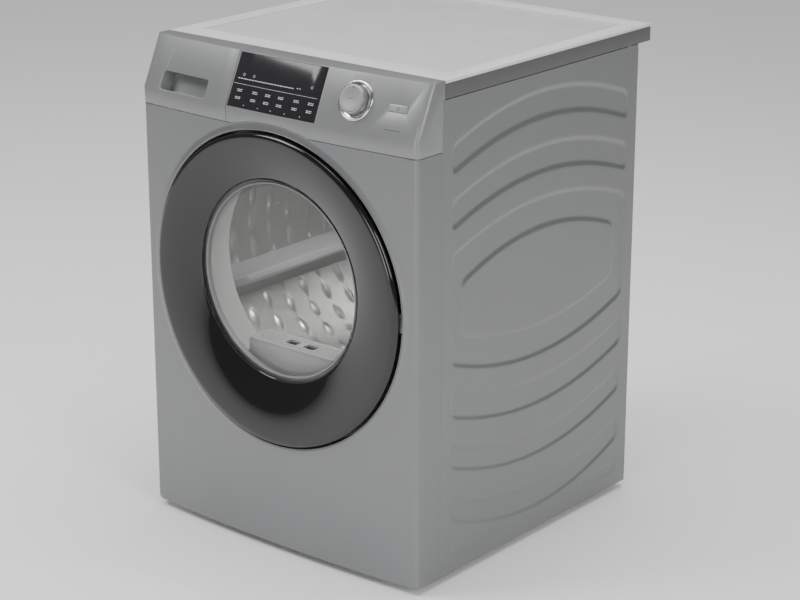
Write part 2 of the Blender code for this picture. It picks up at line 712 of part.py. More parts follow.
def build_drawer():
    """Drawer front with its grip, the open tank behind it, its lid, and the sleeve it runs in."""
    end = DRAWER_EDGE - SEAM
    front = fascia_bar("tank_front", -HALF, end, "fascia_silver")
    combine(front, fascia_hollow("tank_front_hollow", -HALF + PLASTIC, end - PLASTIC))
    combine(front, disc("tank_front_arc", FLARE_RADIUS + 0.0014))
    grip = face_frame(-HALF + GRIP_INSET, 0.0035 + GRIP_HEIGHT / 2)
    combine(front, extruded("grip_cup", [grip_outline(0.002)], -GRIP_DEPTH - 0.002, -0.0012, frame=grip), "UNION")
    combine(front, extruded("grip_hollow", [grip_outline(0.0)], -GRIP_DEPTH, 0.01, frame=grip))

    low, high = tank_box()
    wall = Vector((TANK_WALL, TANK_WALL, TANK_WALL))
    tank = block("water_tank", low, high, "light_plastic")
    combine(tank, block("tank_hollow", low + wall, high + Vector((-TANK_WALL, -TANK_WALL, 0.01))))
    half = TANK_OPENING / 2
    x, y = (low.x + high.x) / 2, high.y - 0.10
    lid = block("tank_lid", (low.x, low.y, high.z + TOUCH), (high.x, high.y, high.z + TOUCH + 0.002),
                "grey_plastic")
    combine(lid, block("lid_opening", (x - half, y - half, high.z - 0.01), (x + half, y + half, high.z + 0.02)))

    gap = 0.0015
    outer_low = Vector((low.x - gap - 0.0015, SEAM_Y + SEAM + SHEET + TOUCH, SLEEVE_Z))
    outer_high = Vector((high.x + gap + 0.0015, high.y + gap + 0.0015, high.z - 0.004))
    sleeve = block("tank_sleeve", outer_low, outer_high, "grey_plastic")
    combine(sleeve, block("sleeve_hollow", (low.x - gap, outer_low.y - 0.01, SLEEVE_Z + 0.0015),
                          (high.x + gap, high.y + gap, high.z + 0.01)))


def grip_outline(grow):
    half = (GRIP_LENGTH / 2 + grow, GRIP_HEIGHT / 2 + grow)
    return rounded_rectangle((-half[0], -half[1]), half, 0.0055 + grow, 4)


# ================================================================ door
def ring_y(t, x):
    """Front of the ring: a rolled shoulder up to the crest, then a slope that steepens in to the flat
    window edge. The outer edge follows the bowed front, and the window's edge lies in one plane."""
    edge = CORNER_Y - RIM_RISE - RING_LIP - RING_EDGE
    crest = FRONT + FRONT_BOW * (1 - RING_CREST)
    if t < RING_CREST:
        place = edge + (crest - edge) * math.sqrt(1 - (1 - t / RING_CREST) ** 2)
    else:
        place = crest + (WINDOW_Y - crest) * ((t - RING_CREST) / (1 - RING_CREST)) ** 1.8
    return place - bow(x) * (1 - t)


def ring_circle(t, back=0.0):
    """Circle of the ring at t, 0 on the outer edge and 1 on the window's, its centre rising with t."""
    return concentric(DOOR_RADIUS - RING_WIDTH * t, lambda x: ring_y(t, x) + back, DOOR_Z + WINDOW_RISE * t)


def build_door_ring():
    """Glossy domed ring: an outer circle lofted to the smaller, higher circle of the window."""
    front = [0.0, 0.012, 0.045, RING_CREST, 0.24, 0.40, 0.56, 0.70, 0.84, 1.0]
    back = [1.0, 0.84, 0.56, 0.30, 0.14]
    lip = bowed(-RIM_RISE - RING_LIP)
    rings = [ring_circle(t) for t in front]
    rings += [ring_circle(t, RING_WALL) for t in back]
    rings.append(concentric(DOOR_RADIUS - 0.004, lip, DOOR_Z))
    rings.append(concentric(DOOR_RADIUS, lip, DOOR_Z))
    return lofted("door_trim_ring", rings, "black_gloss", closed_both_ways=True)


def build_door_frame():
    """Channel-shaped inner frame from the round outer wall to the raised seat of the glass bowl."""
    wall = PLASTIC
    seat = WINDOW_RADIUS - 0.008
    front = ring_y(FRAME_INSET / RING_WIDTH, FRAME_RADIUS) + RING_WALL + 0.0015
    seat_front = WINDOW_Y + RING_WALL + 0.0012
    rings = [
        concentric(FRAME_RADIUS, front, DOOR_Z),
        concentric(FRAME_RADIUS, FRAME_BACK, DOOR_Z),
        concentric(seat, FRAME_BACK, AXIS_Z),
        concentric(seat, seat_front, AXIS_Z),
        concentric(seat + wall, seat_front, AXIS_Z),
        concentric(seat + wall, FRAME_BACK - wall, AXIS_Z),
        concentric(FRAME_RADIUS - wall, FRAME_BACK - wall, DOOR_Z),
        concentric(FRAME_RADIUS - wall, front, DOOR_Z),
    ]
    return lofted("door_inner_frame", rings, "grey_plastic", closed_both_ways=True)


def build_door_glass():
    """Outer window pane with a shallow dome, and the glass bowl that fills the mouth."""
    rim = WINDOW_RADIUS - 0.0006
    edge = WINDOW_Y
    dome = [(rim * s, edge - WINDOW_DOME * (1 - s * s)) for s in (0.0, 0.35, 0.65, 0.88, 1.0)]
    behind = [(r, y + GLASS) for r, y in dome[::-1]]
    window = turned("door_window", dome + behind, "smoked_glass", at=(0, 0, AXIS_Z), axis="Y", steps=DOOR_STEPS)
    outer = WINDOW_RADIUS - 0.0085
    start = edge + RING_WALL + 0.008
    bowl = turned("door_bowl", [
        (outer, start), (outer, BOWL_BACK - 0.016), (outer - 0.006, BOWL_BACK - 0.005),
        (outer - 0.020, BOWL_BACK), (0.0, BOWL_BACK), (0.0, BOWL_BACK - GLASS),
        (outer - 0.021, BOWL_BACK - GLASS), (outer - 0.0085, BOWL_BACK - 0.0075),
        (outer - GLASS, BOWL_BACK - 0.017), (outer - GLASS, start),
    ], "clear_glass", at=(0, 0, AXIS_Z), axis="Y", steps=DOOR_STEPS)
    return [window, bowl]


HINGE_X = DOOR_RADIUS + 0.0047
HINGE_Y = CORNER_Y - RIM_RISE - bow(RIM_RADIUS) + 0.0042


def build_hinge():
    """Clevis bracket on the recess wall, its pin, and the door's arm between the ears."""
    base_front = RECESS_Y - TOUCH - 0.003
    right = math.sqrt(BARREL_RADIUS**2 - HINGE_HALF**2) - 0.0012
    bracket = block("hinge_bracket", (FRAME_RADIUS - 0.010, base_front, DOOR_Z - HINGE_HALF),
                    (right, RECESS_Y - TOUCH, DOOR_Z + HINGE_HALF), "galvanised")
    knuckle = circle(KNUCKLE, (HINGE_X, HINGE_Y), 16, math.pi, math.radians(492))
    ear = knuckle + [(right, HINGE_Y + 0.0036), (right, base_front + 0.001), (right - 0.012, base_front + 0.001)]
    hole = circle(PIN_RADIUS + 0.0001, (HINGE_X, HINGE_Y), 12)
    for name, low in (("upper_ear", DOOR_Z + HINGE_HALF - 0.005), ("lower_ear", DOOR_Z - HINGE_HALF)):
        combine(bracket, extruded(name, [ear, hole], low, low + 0.005), "UNION")
    reach = HINGE_HALF + 0.003
    turned("hinge_pin", [(0.0, reach), (PIN_RADIUS, reach), (PIN_RADIUS, -reach), (0.0, -reach)],
           "stainless", at=(HINGE_X, HINGE_Y, DOOR_Z), steps=16)

    half = HINGE_HALF - 0.0055
    pad = FRAME_RADIUS + TOUCH
    eye = circle(KNUCKLE, (HINGE_X, HINGE_Y), 16, math.radians(-180), math.radians(132))
    arm = eye + [(pad + 0.006, FRAME_BACK - 0.004), (pad, FRAME_BACK - 0.004), (pad, FRAME_BACK - 0.022)]
    bore = circle(PIN_RADIUS + RUNNING, (HINGE_X, HINGE_Y), 12)
    hinge_arm = extruded("door_hinge_arm", [arm, bore], DOOR_Z - half, DOOR_Z + half, "galvanised")
    combine(hinge_arm, arm_clearance())
    return hinge_arm


def arm_clearance():
    """Keeps the arm's flat pad clear of the frame's round wall above and below its middle."""
    return extruded("arm_clearance", [circle(FRAME_RADIUS + TOUCH, (0.0, DOOR_Z), DOOR_STEPS * 2)],
                    FRONT, RECESS_Y, axis="Y")


def build_latch():
    """Hook on the door's frame and the catch it snaps into behind the recess wall."""
    back = FRAME_BACK + TOUCH
    tip = RECESS_Y + 0.0115
    hook = [(LATCH_X - 0.008, back), (LATCH_X + 0.008, back), (LATCH_X + 0.008, back + 0.004),
            (LATCH_X + 0.0025, back + 0.005), (LATCH_X + 0.0025, tip - 0.005), (LATCH_X + 0.0055, tip - 0.004),
            (LATCH_X, tip), (LATCH_X - 0.003, tip - 0.001), (LATCH_X - 0.003, back + 0.005),
            (LATCH_X - 0.008, back + 0.004)]
    piece = extruded("latch_hook", [hook], DOOR_Z - 0.007, DOOR_Z + 0.007, "dark_plastic")
    start = RECESS_Y + 0.0015 + TOUCH
    catch = block("latch_catch", (LATCH_X - 0.015, start, DOOR_Z - 0.022),
                  (LATCH_X + 0.015, start + 0.020, DOOR_Z + 0.022), "dark_plastic")
    combine(catch, block("catch_hollow", (LATCH_X - 0.011, start - 0.01, DOOR_Z - 0.012),
                         (LATCH_X + 0.011, start + 0.017, DOOR_Z + 0.012)))
    return piece


def build_door_seal():
    start = FRAME_BACK + TOUCH
    inner = MOUTH_RADIUS + 0.008
    lip = RECESS_Y - 0.0008
    return turned("door_seal", [
        (inner, start), (inner + 0.012, start), (inner + 0.012, start + 0.003),
        (inner + 0.008, lip), (inner + 0.005, lip), (inner + 0.001, start + 0.003),
    ], "rubber", at=(0, 0, AXIS_Z), axis="Y", steps=DOOR_STEPS)


def build_door():
    pieces = [build_door_ring(), build_door_frame(), build_hinge(), build_latch(), build_door_seal()]
    pieces += build_door_glass()
    joint_empty("door_axis", (HINGE_X, HINGE_Y, DOOR_Z), pieces)


# ================================================================ mouth, lint filter and drum
def pocket_box(grow=0.0):
    """The lint filter's pocket below the mouth, inside its walls."""
    low = Vector((-FILTER_X + 0.0015 - grow, DISC_FRONT - 0.0475 - grow, FILTER_RIM - FILTER_DEEP))
    high = Vector((FILTER_X - 0.0015 + grow, DISC_FRONT - 0.0005 + grow, FILTER_RIM))
    return low, high


def build_front_bulkhead():
    """Plate that closes the drum's front: tunnel, felt rim and the lint filter's pocket in one."""
    flange = RECESS_Y + 0.0023
    bulkhead = turned("front_bulkhead", [
        (MOUTH_RADIUS, flange), (MOUTH_RADIUS + 0.008, DISC_BACK - 0.003), (MOUTH_RADIUS + 0.0085, DISC_BACK),
        (DRUM_RADIUS - DRUM_SHEET - FELT_GAP - 0.0025, DISC_BACK),
        (DRUM_RADIUS - DRUM_SHEET - FELT_GAP - 0.0025, DRUM_FRONT + 0.013),
        (DRUM_RADIUS - DRUM_SHEET - FELT_GAP, DRUM_FRONT + 0.013),
        (DRUM_RADIUS - DRUM_SHEET - FELT_GAP, DISC_FRONT),
        (MOUTH_RADIUS + 0.011, DISC_FRONT), (MOUTH_RADIUS + 0.0032, flange + PLASTIC),
        (MOUTH_RADIUS + 0.022, flange + PLASTIC), (MOUTH_RADIUS + 0.022, flange),
    ], "light_plastic", at=(0, 0, AXIS_Z), axis="Y", steps=DOOR_STEPS)
    low, high = PLINTH - 0.016, SLEEVE_Z - 0.003
    sides = HALF - 0.0125
    outline = [(-sides, low), (sides, low), (sides, high), (-sides, high)]
    hole = circle(DRUM_RADIUS - 0.018, (0.0, AXIS_Z), DOOR_STEPS)
    combine(bulkhead, extruded("bulkhead_plate", [outline, hole], DISC_FRONT + 0.001, DISC_BACK - 0.001,
                               axis="Y"), "UNION")
    outer_low, outer_high = pocket_box(PLASTIC)
    combine(bulkhead, block("pocket_walls", outer_low, outer_high), "UNION")
    inner_low, inner_high = pocket_box()
    combine(bulkhead, block("pocket_hollow", inner_low - Vector((0, 0, 0.01)),
                            inner_high + Vector((0, 0, 0.012))))


def build_lint_filter():
    """Perforated cover over a box-shaped screen, lifted straight out of its pocket."""
    low, high = pocket_box(0.0015)
    top = FILTER_RIM + TOUCH
    cover = block("lint_filter_cover", (low.x, low.y, top), (high.x, high.y, top + 0.004),
                  "light_plastic", bevel=0.0008)
    middle = (low.y + high.y) / 2
    for name, x in (("finger_hole_left", -0.020), ("finger_hole_right", 0.020)):
        combine(cover, block(name, (x - 0.013, middle - 0.009, top - 0.01), (x + 0.013, middle + 0.009, top + 0.01)))
    screen_low, screen_high = pocket_box(-0.0015)
    screen = block("lint_filter_screen", screen_low + Vector((0, 0, 0.004)),
                   screen_high, "grey_plastic")
    combine(screen, block("screen_hollow", screen_low + Vector((0.0025, 0.0025, 0.0065)),
                          screen_high + Vector((-0.0025, -0.0025, 0.01))))
    joint_empty("lint_filter_axis", (0.0, middle, top), [cover, screen])


def build_mouth_fittings():
    block("moisture_sensor", (-0.035, DISC_BACK + TOUCH, AXIS_Z - DRUM_RADIUS * 0.80),
          (0.035, DISC_BACK + TOUCH + 0.002, AXIS_Z - DRUM_RADIUS * 0.80 + 0.014), "stainless", bevel=0.0006)
    top = AXIS_Z + MOUTH_RADIUS - 0.0018
    middle = (RECESS_Y + DISC_FRONT) / 2
    block("drum_lamp", (-0.012, middle - 0.010, top - 0.005), (0.012, middle + 0.010, top), "clear_glass", bevel=0.001)


def build_drum():
    """Stainless cup, three lifters on its wall, and the shaft that the rear bearing carries."""
    inner = DRUM_RADIUS - DRUM_SHEET
    rear = DRUM_REAR - DRUM_SHEET
    shell = turned("drum_shell", [
        (0.0, DRUM_REAR), (DRUM_RADIUS - 0.006, DRUM_REAR), (DRUM_RADIUS, DRUM_REAR - 0.006),
        (DRUM_RADIUS, DRUM_FRONT), (inner, DRUM_FRONT), (inner, rear - 0.0055), (inner - 0.0055, rear),
        (0.0, rear),
    ], "stainless", at=(0, 0, AXIS_Z), axis="Y", steps=DRUM_STEPS)
    pieces = [shell]
    for name, degrees in LIFTER_ANGLES.items():
        pieces.append(build_lifter(name, math.radians(degrees)))
    start = DRUM_REAR + TOUCH
    pieces.append(turned("drum_shaft", [
        (0.0, start), (0.045, start), (0.045, start + 0.004), (SHAFT_RADIUS + 0.004, start + 0.005),
        (SHAFT_RADIUS, start + 0.009), (SHAFT_RADIUS, PANEL_REAR - 0.011), (0.0, PANEL_REAR - 0.011),
    ], "galvanised", at=(0, 0, AXIS_Z), axis="Y", steps=28))
    joint_empty("drum_axis", (0.0, DRUM_FRONT, AXIS_Z), pieces)


def build_lifter(name, angle):
    """Hollow-looking paddle: a rounded ridge along the drum's wall, lower at both ends."""
    half = 0.030
    flat = (DRUM_RADIUS - DRUM_SHEET) * math.cos(math.pi / DRUM_STEPS)
    base = math.sqrt(flat**2 - half**2) - TOUCH
    out = Vector((math.cos(angle), 0.0, math.sin(angle)))
    side = Vector((-math.sin(angle), 0.0, math.cos(angle)))
    front, back = DRUM_FRONT + 0.020, DRUM_REAR - 0.020
    rings = []
    for y, tall in ((front, 0.55), (front + 0.025, 1.0), (back - 0.020, 1.0), (back, 0.65)):
        height = LIFTER_HEIGHT * tall
        section = [(half, 0.0), (half * 0.55, 0.45 * height), (half * 0.34, 0.88 * height), (half * 0.16, height),
                   (-half * 0.16, height), (-half * 0.34, 0.88 * height), (-half * 0.55, 0.45 * height), (-half, 0.0)]
        origin = Vector((0.0, y, AXIS_Z))
        rings.append([origin + out * (base - h) + side * w for w, h in section])
    return lofted(name, rings, "grey_plastic")


def build_rear_support():
    """Rear bulkhead and the bearing in its middle."""
    plate_y = DRUM_REAR + 0.028
    sides = HALF - 0.0145
    outline = [(-sides, PLINTH - 0.016), (sides, PLINTH - 0.016), (sides, WORKTOP_Z - 0.015), (-sides, WORKTOP_Z - 0.015)]
    seat = circle(0.0264, (0.0, AXIS_Z), 32)
    extruded("rear_bulkhead", [outline, seat], plate_y, plate_y + 0.0015, "galvanised", "Y")
    middle = plate_y + 0.00075
    bore = SHAFT_RADIUS + 3 * RUNNING
    turned("rear_bearing", [(bore, middle - 0.006), (0.026, middle - 0.006), (0.026, middle + 0.006),
                            (bore, middle + 0.006)], "stainless", at=(0, 0, AXIS_Z), axis="Y", steps=28)


# ================================================================ drive, rollers and heat pump
def roller_place(side):
    reach = DRUM_RADIUS + ROLLER_RADIUS + TOUCH
    return side * reach * math.sin(ROLLER_ANGLE), AXIS_Z - reach * math.cos(ROLLER_ANGLE)


def build_rollers():
    """Two rollers under the drum's front edge, on fixed axles in the front bulkhead."""
    for side, hand in ((-1, "left"), (1, "right")):
        x, z = roller_place(side)
        turned("roller_axle_" + hand, [(0.0, DISC_BACK - 0.001 + TOUCH), (0.005, DISC_BACK - 0.001 + TOUCH),
                                       (0.005, DRUM_FRONT + 0.026), (0.0, DRUM_FRONT + 0.026)],
               "stainless", at=(x, 0, z), axis="Y", steps=16)
        bore = 0.005 + RUNNING
        start, end = DRUM_FRONT + 0.004, DRUM_FRONT + 0.020
        turned("roller_" + hand, [(bore, start), (0.012, start), (0.012, start + 0.003), (0.017, start + 0.003),
                                  (ROLLER_RADIUS, start + 0.002), (ROLLER_RADIUS, end - 0.002),
                                  (0.017, end - 0.003), (0.012, end - 0.003), (0.012, end), (bore, end)],
               "rubber", at=(x, 0, z), axis="Y", steps=20)


def belt_loop(grow):
    """Loop round the drum and the pulley below it: two arcs and the straight spans they touch."""
    big = DRUM_RADIUS + grow
    small = PULLEY_RADIUS + grow
    apart = AXIS_Z - MOTOR_Z
    lean = math.asin((big - small) / apart)
    big = big / math.cos(math.pi / 2 / 36)
    top = circle(big, (0.0, AXIS_Z), 40, -lean, math.pi + lean)
    bottom = circle(small, (0.0, MOTOR_Z), 10, math.pi + lean, 2 * math.pi - lean)
    return top + bottom, lean


def build_drive():
    """Flat belt, motor, the rotor's pulley and blower wheel, and the sprung idler on its bracket."""
    outer, lean = belt_loop(TOUCH + BELT_THICK)
    inner, _ = belt_loop(TOUCH)
    extruded("drive_belt", [outer, inner], BELT_Y - BELT_WIDTH / 2, BELT_Y + BELT_WIDTH / 2, "rubber", "Y")

    start, end = MOTOR_Y, MOTOR_Y + 0.110
    turned("drive_motor", [
        (0.0, start), (0.020, start), (0.022, start + 0.006), (0.045, start + 0.010), (0.052, start + 0.016),
        (0.052, end - 0.016), (0.045, end - 0.010), (0.022, end - 0.006), (0.020, end), (0.0, end),
    ], "cast", at=(0, 0, MOTOR_Z), axis="Y", steps=24)
    front = BELT_Y - BELT_WIDTH / 2 - 0.004
    back = BELT_Y + BELT_WIDTH / 2 + 0.004
    pulley = turned("motor_pulley", [
        (0.0, front), (0.017, front), (0.017, front + 0.002), (PULLEY_RADIUS, front + 0.003),
        (PULLEY_RADIUS, back - 0.003), (0.017, back - 0.002), (0.017, back), (0.005, back),
        (0.005, start - TOUCH), (0.0, start - TOUCH),
    ], "galvanised", at=(0, 0, MOTOR_Z), axis="Y", steps=24)
    blower = turned("blower_wheel", [
        (0.0, end + TOUCH), (0.005, end + TOUCH), (0.005, end + 0.012), (0.012, end + 0.015),
        (BLOWER_RADIUS, end + 0.015), (BLOWER_RADIUS, end + 0.055), (BLOWER_RADIUS - 0.003, end + 0.055),
        (BLOWER_RADIUS - 0.003, end + 0.018), (0.012, end + 0.018), (0.012, end + 0.030), (0.0, end + 0.030),
    ], "dark_plastic", at=(0, 0, MOTOR_Z), axis="Y", steps=28)
    joint_empty("motor_axis", (0.0, start, MOTOR_Z), [pulley, blower])

    x, z = idler_place(lean)
    half = BELT_WIDTH / 2 + 0.001
    turned("idler_pulley", [(0.004 + RUNNING, BELT_Y - half), (IDLER_RADIUS, BELT_Y - half),
                            (IDLER_RADIUS, BELT_Y + half), (0.004 + RUNNING, BELT_Y + half)],
           "dark_plastic", at=(x, 0, z), axis="Y", steps=28)
    plate = BELT_Y + half + 0.0015
    arm = circle(0.010, (x, z), 10, 0.0, math.pi) + [(x - 0.014, FLOOR + 0.004), (x - 0.014, FLOOR),
                                                    (x + 0.014, FLOOR), (x + 0.014, FLOOR + 0.004)]
    bracket = extruded("idler_bracket", [arm], plate, plate + 0.003, "galvanised", "Y")
    axle = turned("idler_axle", [(0.0, BELT_Y - half), (0.004, BELT_Y - half), (0.004, plate + 0.001),
                                 (0.0, plate + 0.001)], at=(x, 0, z), axis="Y", steps=16)
    combine(bracket, axle, "UNION")


def idler_place(lean):
    """Outside the right span of the belt, a little above the pulley."""
    along = 0.085
    x = (PULLEY_RADIUS + TOUCH + BELT_THICK) * math.cos(lean) + along * math.sin(lean)
    z = MOTOR_Z - (PULLEY_RADIUS + TOUCH + BELT_THICK) * math.sin(lean) + along * math.cos(lean)
    reach = IDLER_RADIUS + TOUCH
    return x + reach * math.cos(lean), z - reach * math.sin(lean)


def build_heat_pump():
    """Compressor, the two coils, the pipe between them and the condensate pump, on the base pan."""
    x, y = HALF - 0.0975, PANEL_REAR - 0.101
    turned("compressor", [
        (0.0, FLOOR + 0.182), (0.030, FLOOR + 0.180), (0.050, FLOOR + 0.170), (0.058, FLOOR + 0.150),
        (0.058, FLOOR + 0.040), (0.052, FLOOR + 0.024), (0.062, FLOOR + 0.010), (0.062, FLOOR), (0.0, FLOOR),
    ], "cast", at=(x, y, 0), steps=24)
    left, right = -HALF + 0.0275, -0.100
    coil_top = PLINTH - 0.026
    first = DISC_FRONT + 0.008
    space = BELT_Y - BELT_WIDTH / 2 - 0.012 - first
    block("evaporator", (left, first, FLOOR), (right, first + 0.38 * space, coil_top), "galvanised", bevel=0.001)
    block("condenser", (left, first + 0.45 * space, FLOOR), (right, first + space, coil_top), "galvanised",
          bevel=0.001)
    height = FLOOR + 0.035
    pipe = bpy.data.curves.new("refrigerant_pipe", "CURVE")
    pipe.dimensions = "3D"
    pipe.bevel_depth = 0.004
    pipe.bevel_resolution = 2
    pipe.use_fill_caps = True
    spline = pipe.splines.new("POLY")
    turn = 0.03
    y_turn = first + 0.7 * space
    route = [(x, y - 0.0595, height), (x, y_turn + turn, height)]
    arc = circle(turn, (x - turn, y_turn + turn), 5, 0.0, -math.pi / 2)
    route += [(px, py, height) for px, py in arc]
    route.append((right + TOUCH + 0.0006, y_turn, height))
    spline.points.add(len(route) - 1)
    for point, place in zip(spline.points, route):
        point.co = (*place, 1.0)
    add_object("refrigerant_pipe", pipe, "copper")
    turned("condensate_pump", [
        (0.0, FLOOR + 0.060), (0.018, FLOOR + 0.060), (0.020, FLOOR + 0.058), (0.020, FLOOR + 0.030),
        (0.032, FLOOR + 0.028), (0.032, FLOOR), (0.0, FLOOR),
    ], "dark_plastic", at=(HALF - 0.1375, CORNER_Y + 0.087, 0), steps=24)


def main():
    build_base_pan()
    build_feet()
    build_side_panels()
    build_front_panel()
    build_rear_panel()
    build_rear_duct_cover()
    build_worktop()
    build_cord_gland()
    build_control_fascia()
    build_controls()
    build_drawer()
    build_door()
    build_front_bulkhead()
    build_lint_filter()
    build_mouth_fittings()
    build_drum()
    build_rear_support()
    build_rollers()
    build_drive()
    build_heat_pump()


main()
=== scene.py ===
"""Visible surfaces of a heat-pump clothes dryer: the casing, its round glass door, controls and drum.

Laid out as an add-on: one operator for each piece or group of like pieces, one for the stage, and a
panel that lists them. Metres, +Z up, the door faces -Y. Every surface is worked out on a grid of two
parameters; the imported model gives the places.
"""

import json
import math

import bpy
import numpy as np
from bpy.props import FloatProperty, FloatVectorProperty, IntProperty, PointerProperty
from bpy.types import Operator, Panel, PropertyGroup
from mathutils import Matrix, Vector


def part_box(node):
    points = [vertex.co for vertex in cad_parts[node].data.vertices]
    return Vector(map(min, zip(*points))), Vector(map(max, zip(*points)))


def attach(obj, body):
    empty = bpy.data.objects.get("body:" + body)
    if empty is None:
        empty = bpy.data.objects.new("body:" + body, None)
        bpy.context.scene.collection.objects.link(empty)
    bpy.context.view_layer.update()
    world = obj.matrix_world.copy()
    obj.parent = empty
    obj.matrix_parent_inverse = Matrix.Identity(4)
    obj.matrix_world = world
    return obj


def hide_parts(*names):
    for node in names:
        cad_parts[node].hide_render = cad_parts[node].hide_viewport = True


bl_info = {
    "name": "Clothes dryer surfaces",
    "version": (1, 0, 0),
    "blender": (4, 5, 0),
    "location": "View3D > Sidebar > Dryer",
    "description": "Builds the visible surfaces and finishes of a front-loading clothes dryer",
    "category": "Add Mesh",
}

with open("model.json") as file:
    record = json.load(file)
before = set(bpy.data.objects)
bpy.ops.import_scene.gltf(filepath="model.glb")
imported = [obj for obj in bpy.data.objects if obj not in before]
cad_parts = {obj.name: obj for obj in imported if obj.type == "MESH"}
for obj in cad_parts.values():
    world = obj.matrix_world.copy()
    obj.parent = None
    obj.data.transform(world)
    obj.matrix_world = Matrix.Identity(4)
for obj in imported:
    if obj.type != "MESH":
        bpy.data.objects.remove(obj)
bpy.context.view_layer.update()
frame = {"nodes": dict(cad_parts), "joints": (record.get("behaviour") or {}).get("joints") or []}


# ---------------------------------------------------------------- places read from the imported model
PANEL_LOW, PANEL_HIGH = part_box("front_panel")
SIDE_LOW, SIDE_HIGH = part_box("side_panel_right")
RING_LOW, RING_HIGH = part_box("door_trim_ring")
WINDOW_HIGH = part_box("door_window")[1]
BOWL_LOW, BOWL_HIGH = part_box("door_bowl")
DRUM_LOW, DRUM_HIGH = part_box("drum_shell")
TOP_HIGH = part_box("worktop_frame")[1]
COVER_LOW, COVER_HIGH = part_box("lint_filter_cover")
REAR_LOW, REAR_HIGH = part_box("rear_panel")
DUCT_LOW, DUCT_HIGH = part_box("rear_duct_cover")
DIAL = Vector(next(j for j in frame["joints"] if j["name"] == "dial_turn")["pos_m"])
HINGE = Vector(next(j for j in frame["joints"] if j["name"] == "door_hinge")["pos_m"])

HALF = PANEL_HIGH.x
BOW = 0.0125             # how far the middle of the front bulges ahead of its corners
RIM_RISE = 0.002         # rim of the flare ahead of the bowed front
CORNER_Y = PANEL_LOW.y + BOW + RIM_RISE
CORNER = 0.008           # radius of the upright front corners
SHEET = 0.001
DOOR_RADIUS = RING_HIGH.x
DOOR_Z = (RING_LOW.z + RING_HIGH.z) / 2
BARREL_RADIUS = DOOR_RADIUS + 0.0041
RIM_RADIUS = BARREL_RADIUS + 0.0017
FLARE_RADIUS = RIM_RADIUS + 0.0107
RECESS_Y = CORNER_Y + 0.0255
AXIS_Z = (DRUM_LOW.z + DRUM_HIGH.z) / 2
WINDOW_Y = WINDOW_HIGH.y - 0.003
WINDOW_RADIUS = WINDOW_HIGH.x + 0.0006
MOUTH_RADIUS = WINDOW_RADIUS + 0.0125
RING_CREST = 0.11
CREASE_Z = 0.760
CREASE_Y = CORNER_Y - 0.0015
TOP_EDGE_Y = CORNER_Y + 0.0378
UP = Vector((0.0, TOP_EDGE_Y - CREASE_Y, TOP_HIGH.z - CREASE_Z)).normalized()


# ================================================================ sizes and colours a user would change
class DryerShape(PropertyGroup):
    rib_depth: FloatProperty(
        name="Rib depth", description="Depth of the bands pressed into the side panels",
        default=0.0026, min=0.0, max=0.006, unit="LENGTH")
    dimple_height: FloatProperty(
        name="Dimple height", description="Height of the dimples pressed into the drum's wall",
        default=0.0032, min=0.0, max=0.008, unit="LENGTH")
    dimple_count: IntProperty(
        name="Dimples round", description="Dimples in one row round the drum", default=36, min=6, max=72)
    hole_pitch: FloatProperty(
        name="Hole pitch", description="Distance between holes of the lint filter's cover",
        default=0.0064, min=0.004, max=0.012, unit="LENGTH")
    steps_round: IntProperty(
        name="Steps round", description="Points round the door and the drum", default=216, min=48, max=360)


class DryerColours(PropertyGroup):
    casing: FloatVectorProperty(
        name="Casing", description="Paint of the front and side panels", subtype="COLOR",
        size=3, default=(0.205, 0.208, 0.212), min=0.0, max=1.0)
    fascia: FloatVectorProperty(
        name="Fascia", description="Satin silver of the fascia and the drawer front", subtype="COLOR",
        size=3, default=(0.245, 0.248, 0.252), min=0.0, max=1.0)
    # Colour of the worktop rim's top, the lit half of a lit and shaded pair; its sides get a painted shade.
    worktop: FloatVectorProperty(
        name="Worktop", description="Moulded rim of the worktop", subtype="COLOR",
        size=3, default=(0.60, 0.60, 0.59), min=0.0, max=1.0)
    board: FloatVectorProperty(
        name="Board", description="Board sunk in the worktop", subtype="COLOR",
        size=3, default=(0.46, 0.46, 0.455), min=0.0, max=1.0)
    ring: FloatVectorProperty(
        name="Door ring", description="Glossy ring round the window", subtype="COLOR",
        size=3, default=(0.006, 0.006, 0.0065), min=0.0, max=1.0)


# ================================================================ grids made into pieces
def quads_between(rows, columns, wrap_rows, wrap_columns):
    """Faces of a grid, row by row; either direction may run on into its own start."""
    last_row = rows if wrap_rows else rows - 1
    last_column = columns if wrap_columns else columns - 1
    i, j = np.meshgrid(np.arange(last_row), np.arange(last_column), indexing="ij")
    i2, j2 = (i + 1) % rows, (j + 1) % columns
    corners = [i * columns + j, i * columns + j2, i2 * columns + j2, i2 * columns + j]
    return np.stack(corners, axis=-1).reshape(-1, 4)


def fans(points, quads, rings):
    """Closes the first and the last ring of a grid with a fan of triangles from its middle."""
    rows, columns = rings.shape[:2]
    middles = np.stack([rings[0].mean(axis=0), rings[-1].mean(axis=0)])
    first = len(points)
    points = np.concatenate([points, middles])
    j = np.arange(columns)
    j2 = (j + 1) % columns
    start = np.stack([np.full(columns, first), j2, j], axis=-1)
    base = (rows - 1) * columns
    end = np.stack([np.full(columns, first + 1), base + j, base + j2], axis=-1)
    return points, quads, np.concatenate([start, end])


def signed_volume(points, quads, tris):
    halves = [quads[:, [0, 1, 2]], quads[:, [0, 2, 3]]] if len(quads) else []
    faces = np.concatenate(halves + ([tris] if len(tris) else []))
    a, b, c = (points[faces[:, k]] for k in range(3))
    return float(np.einsum("ij,ij->i", a, np.cross(b, c)).sum() / 6)


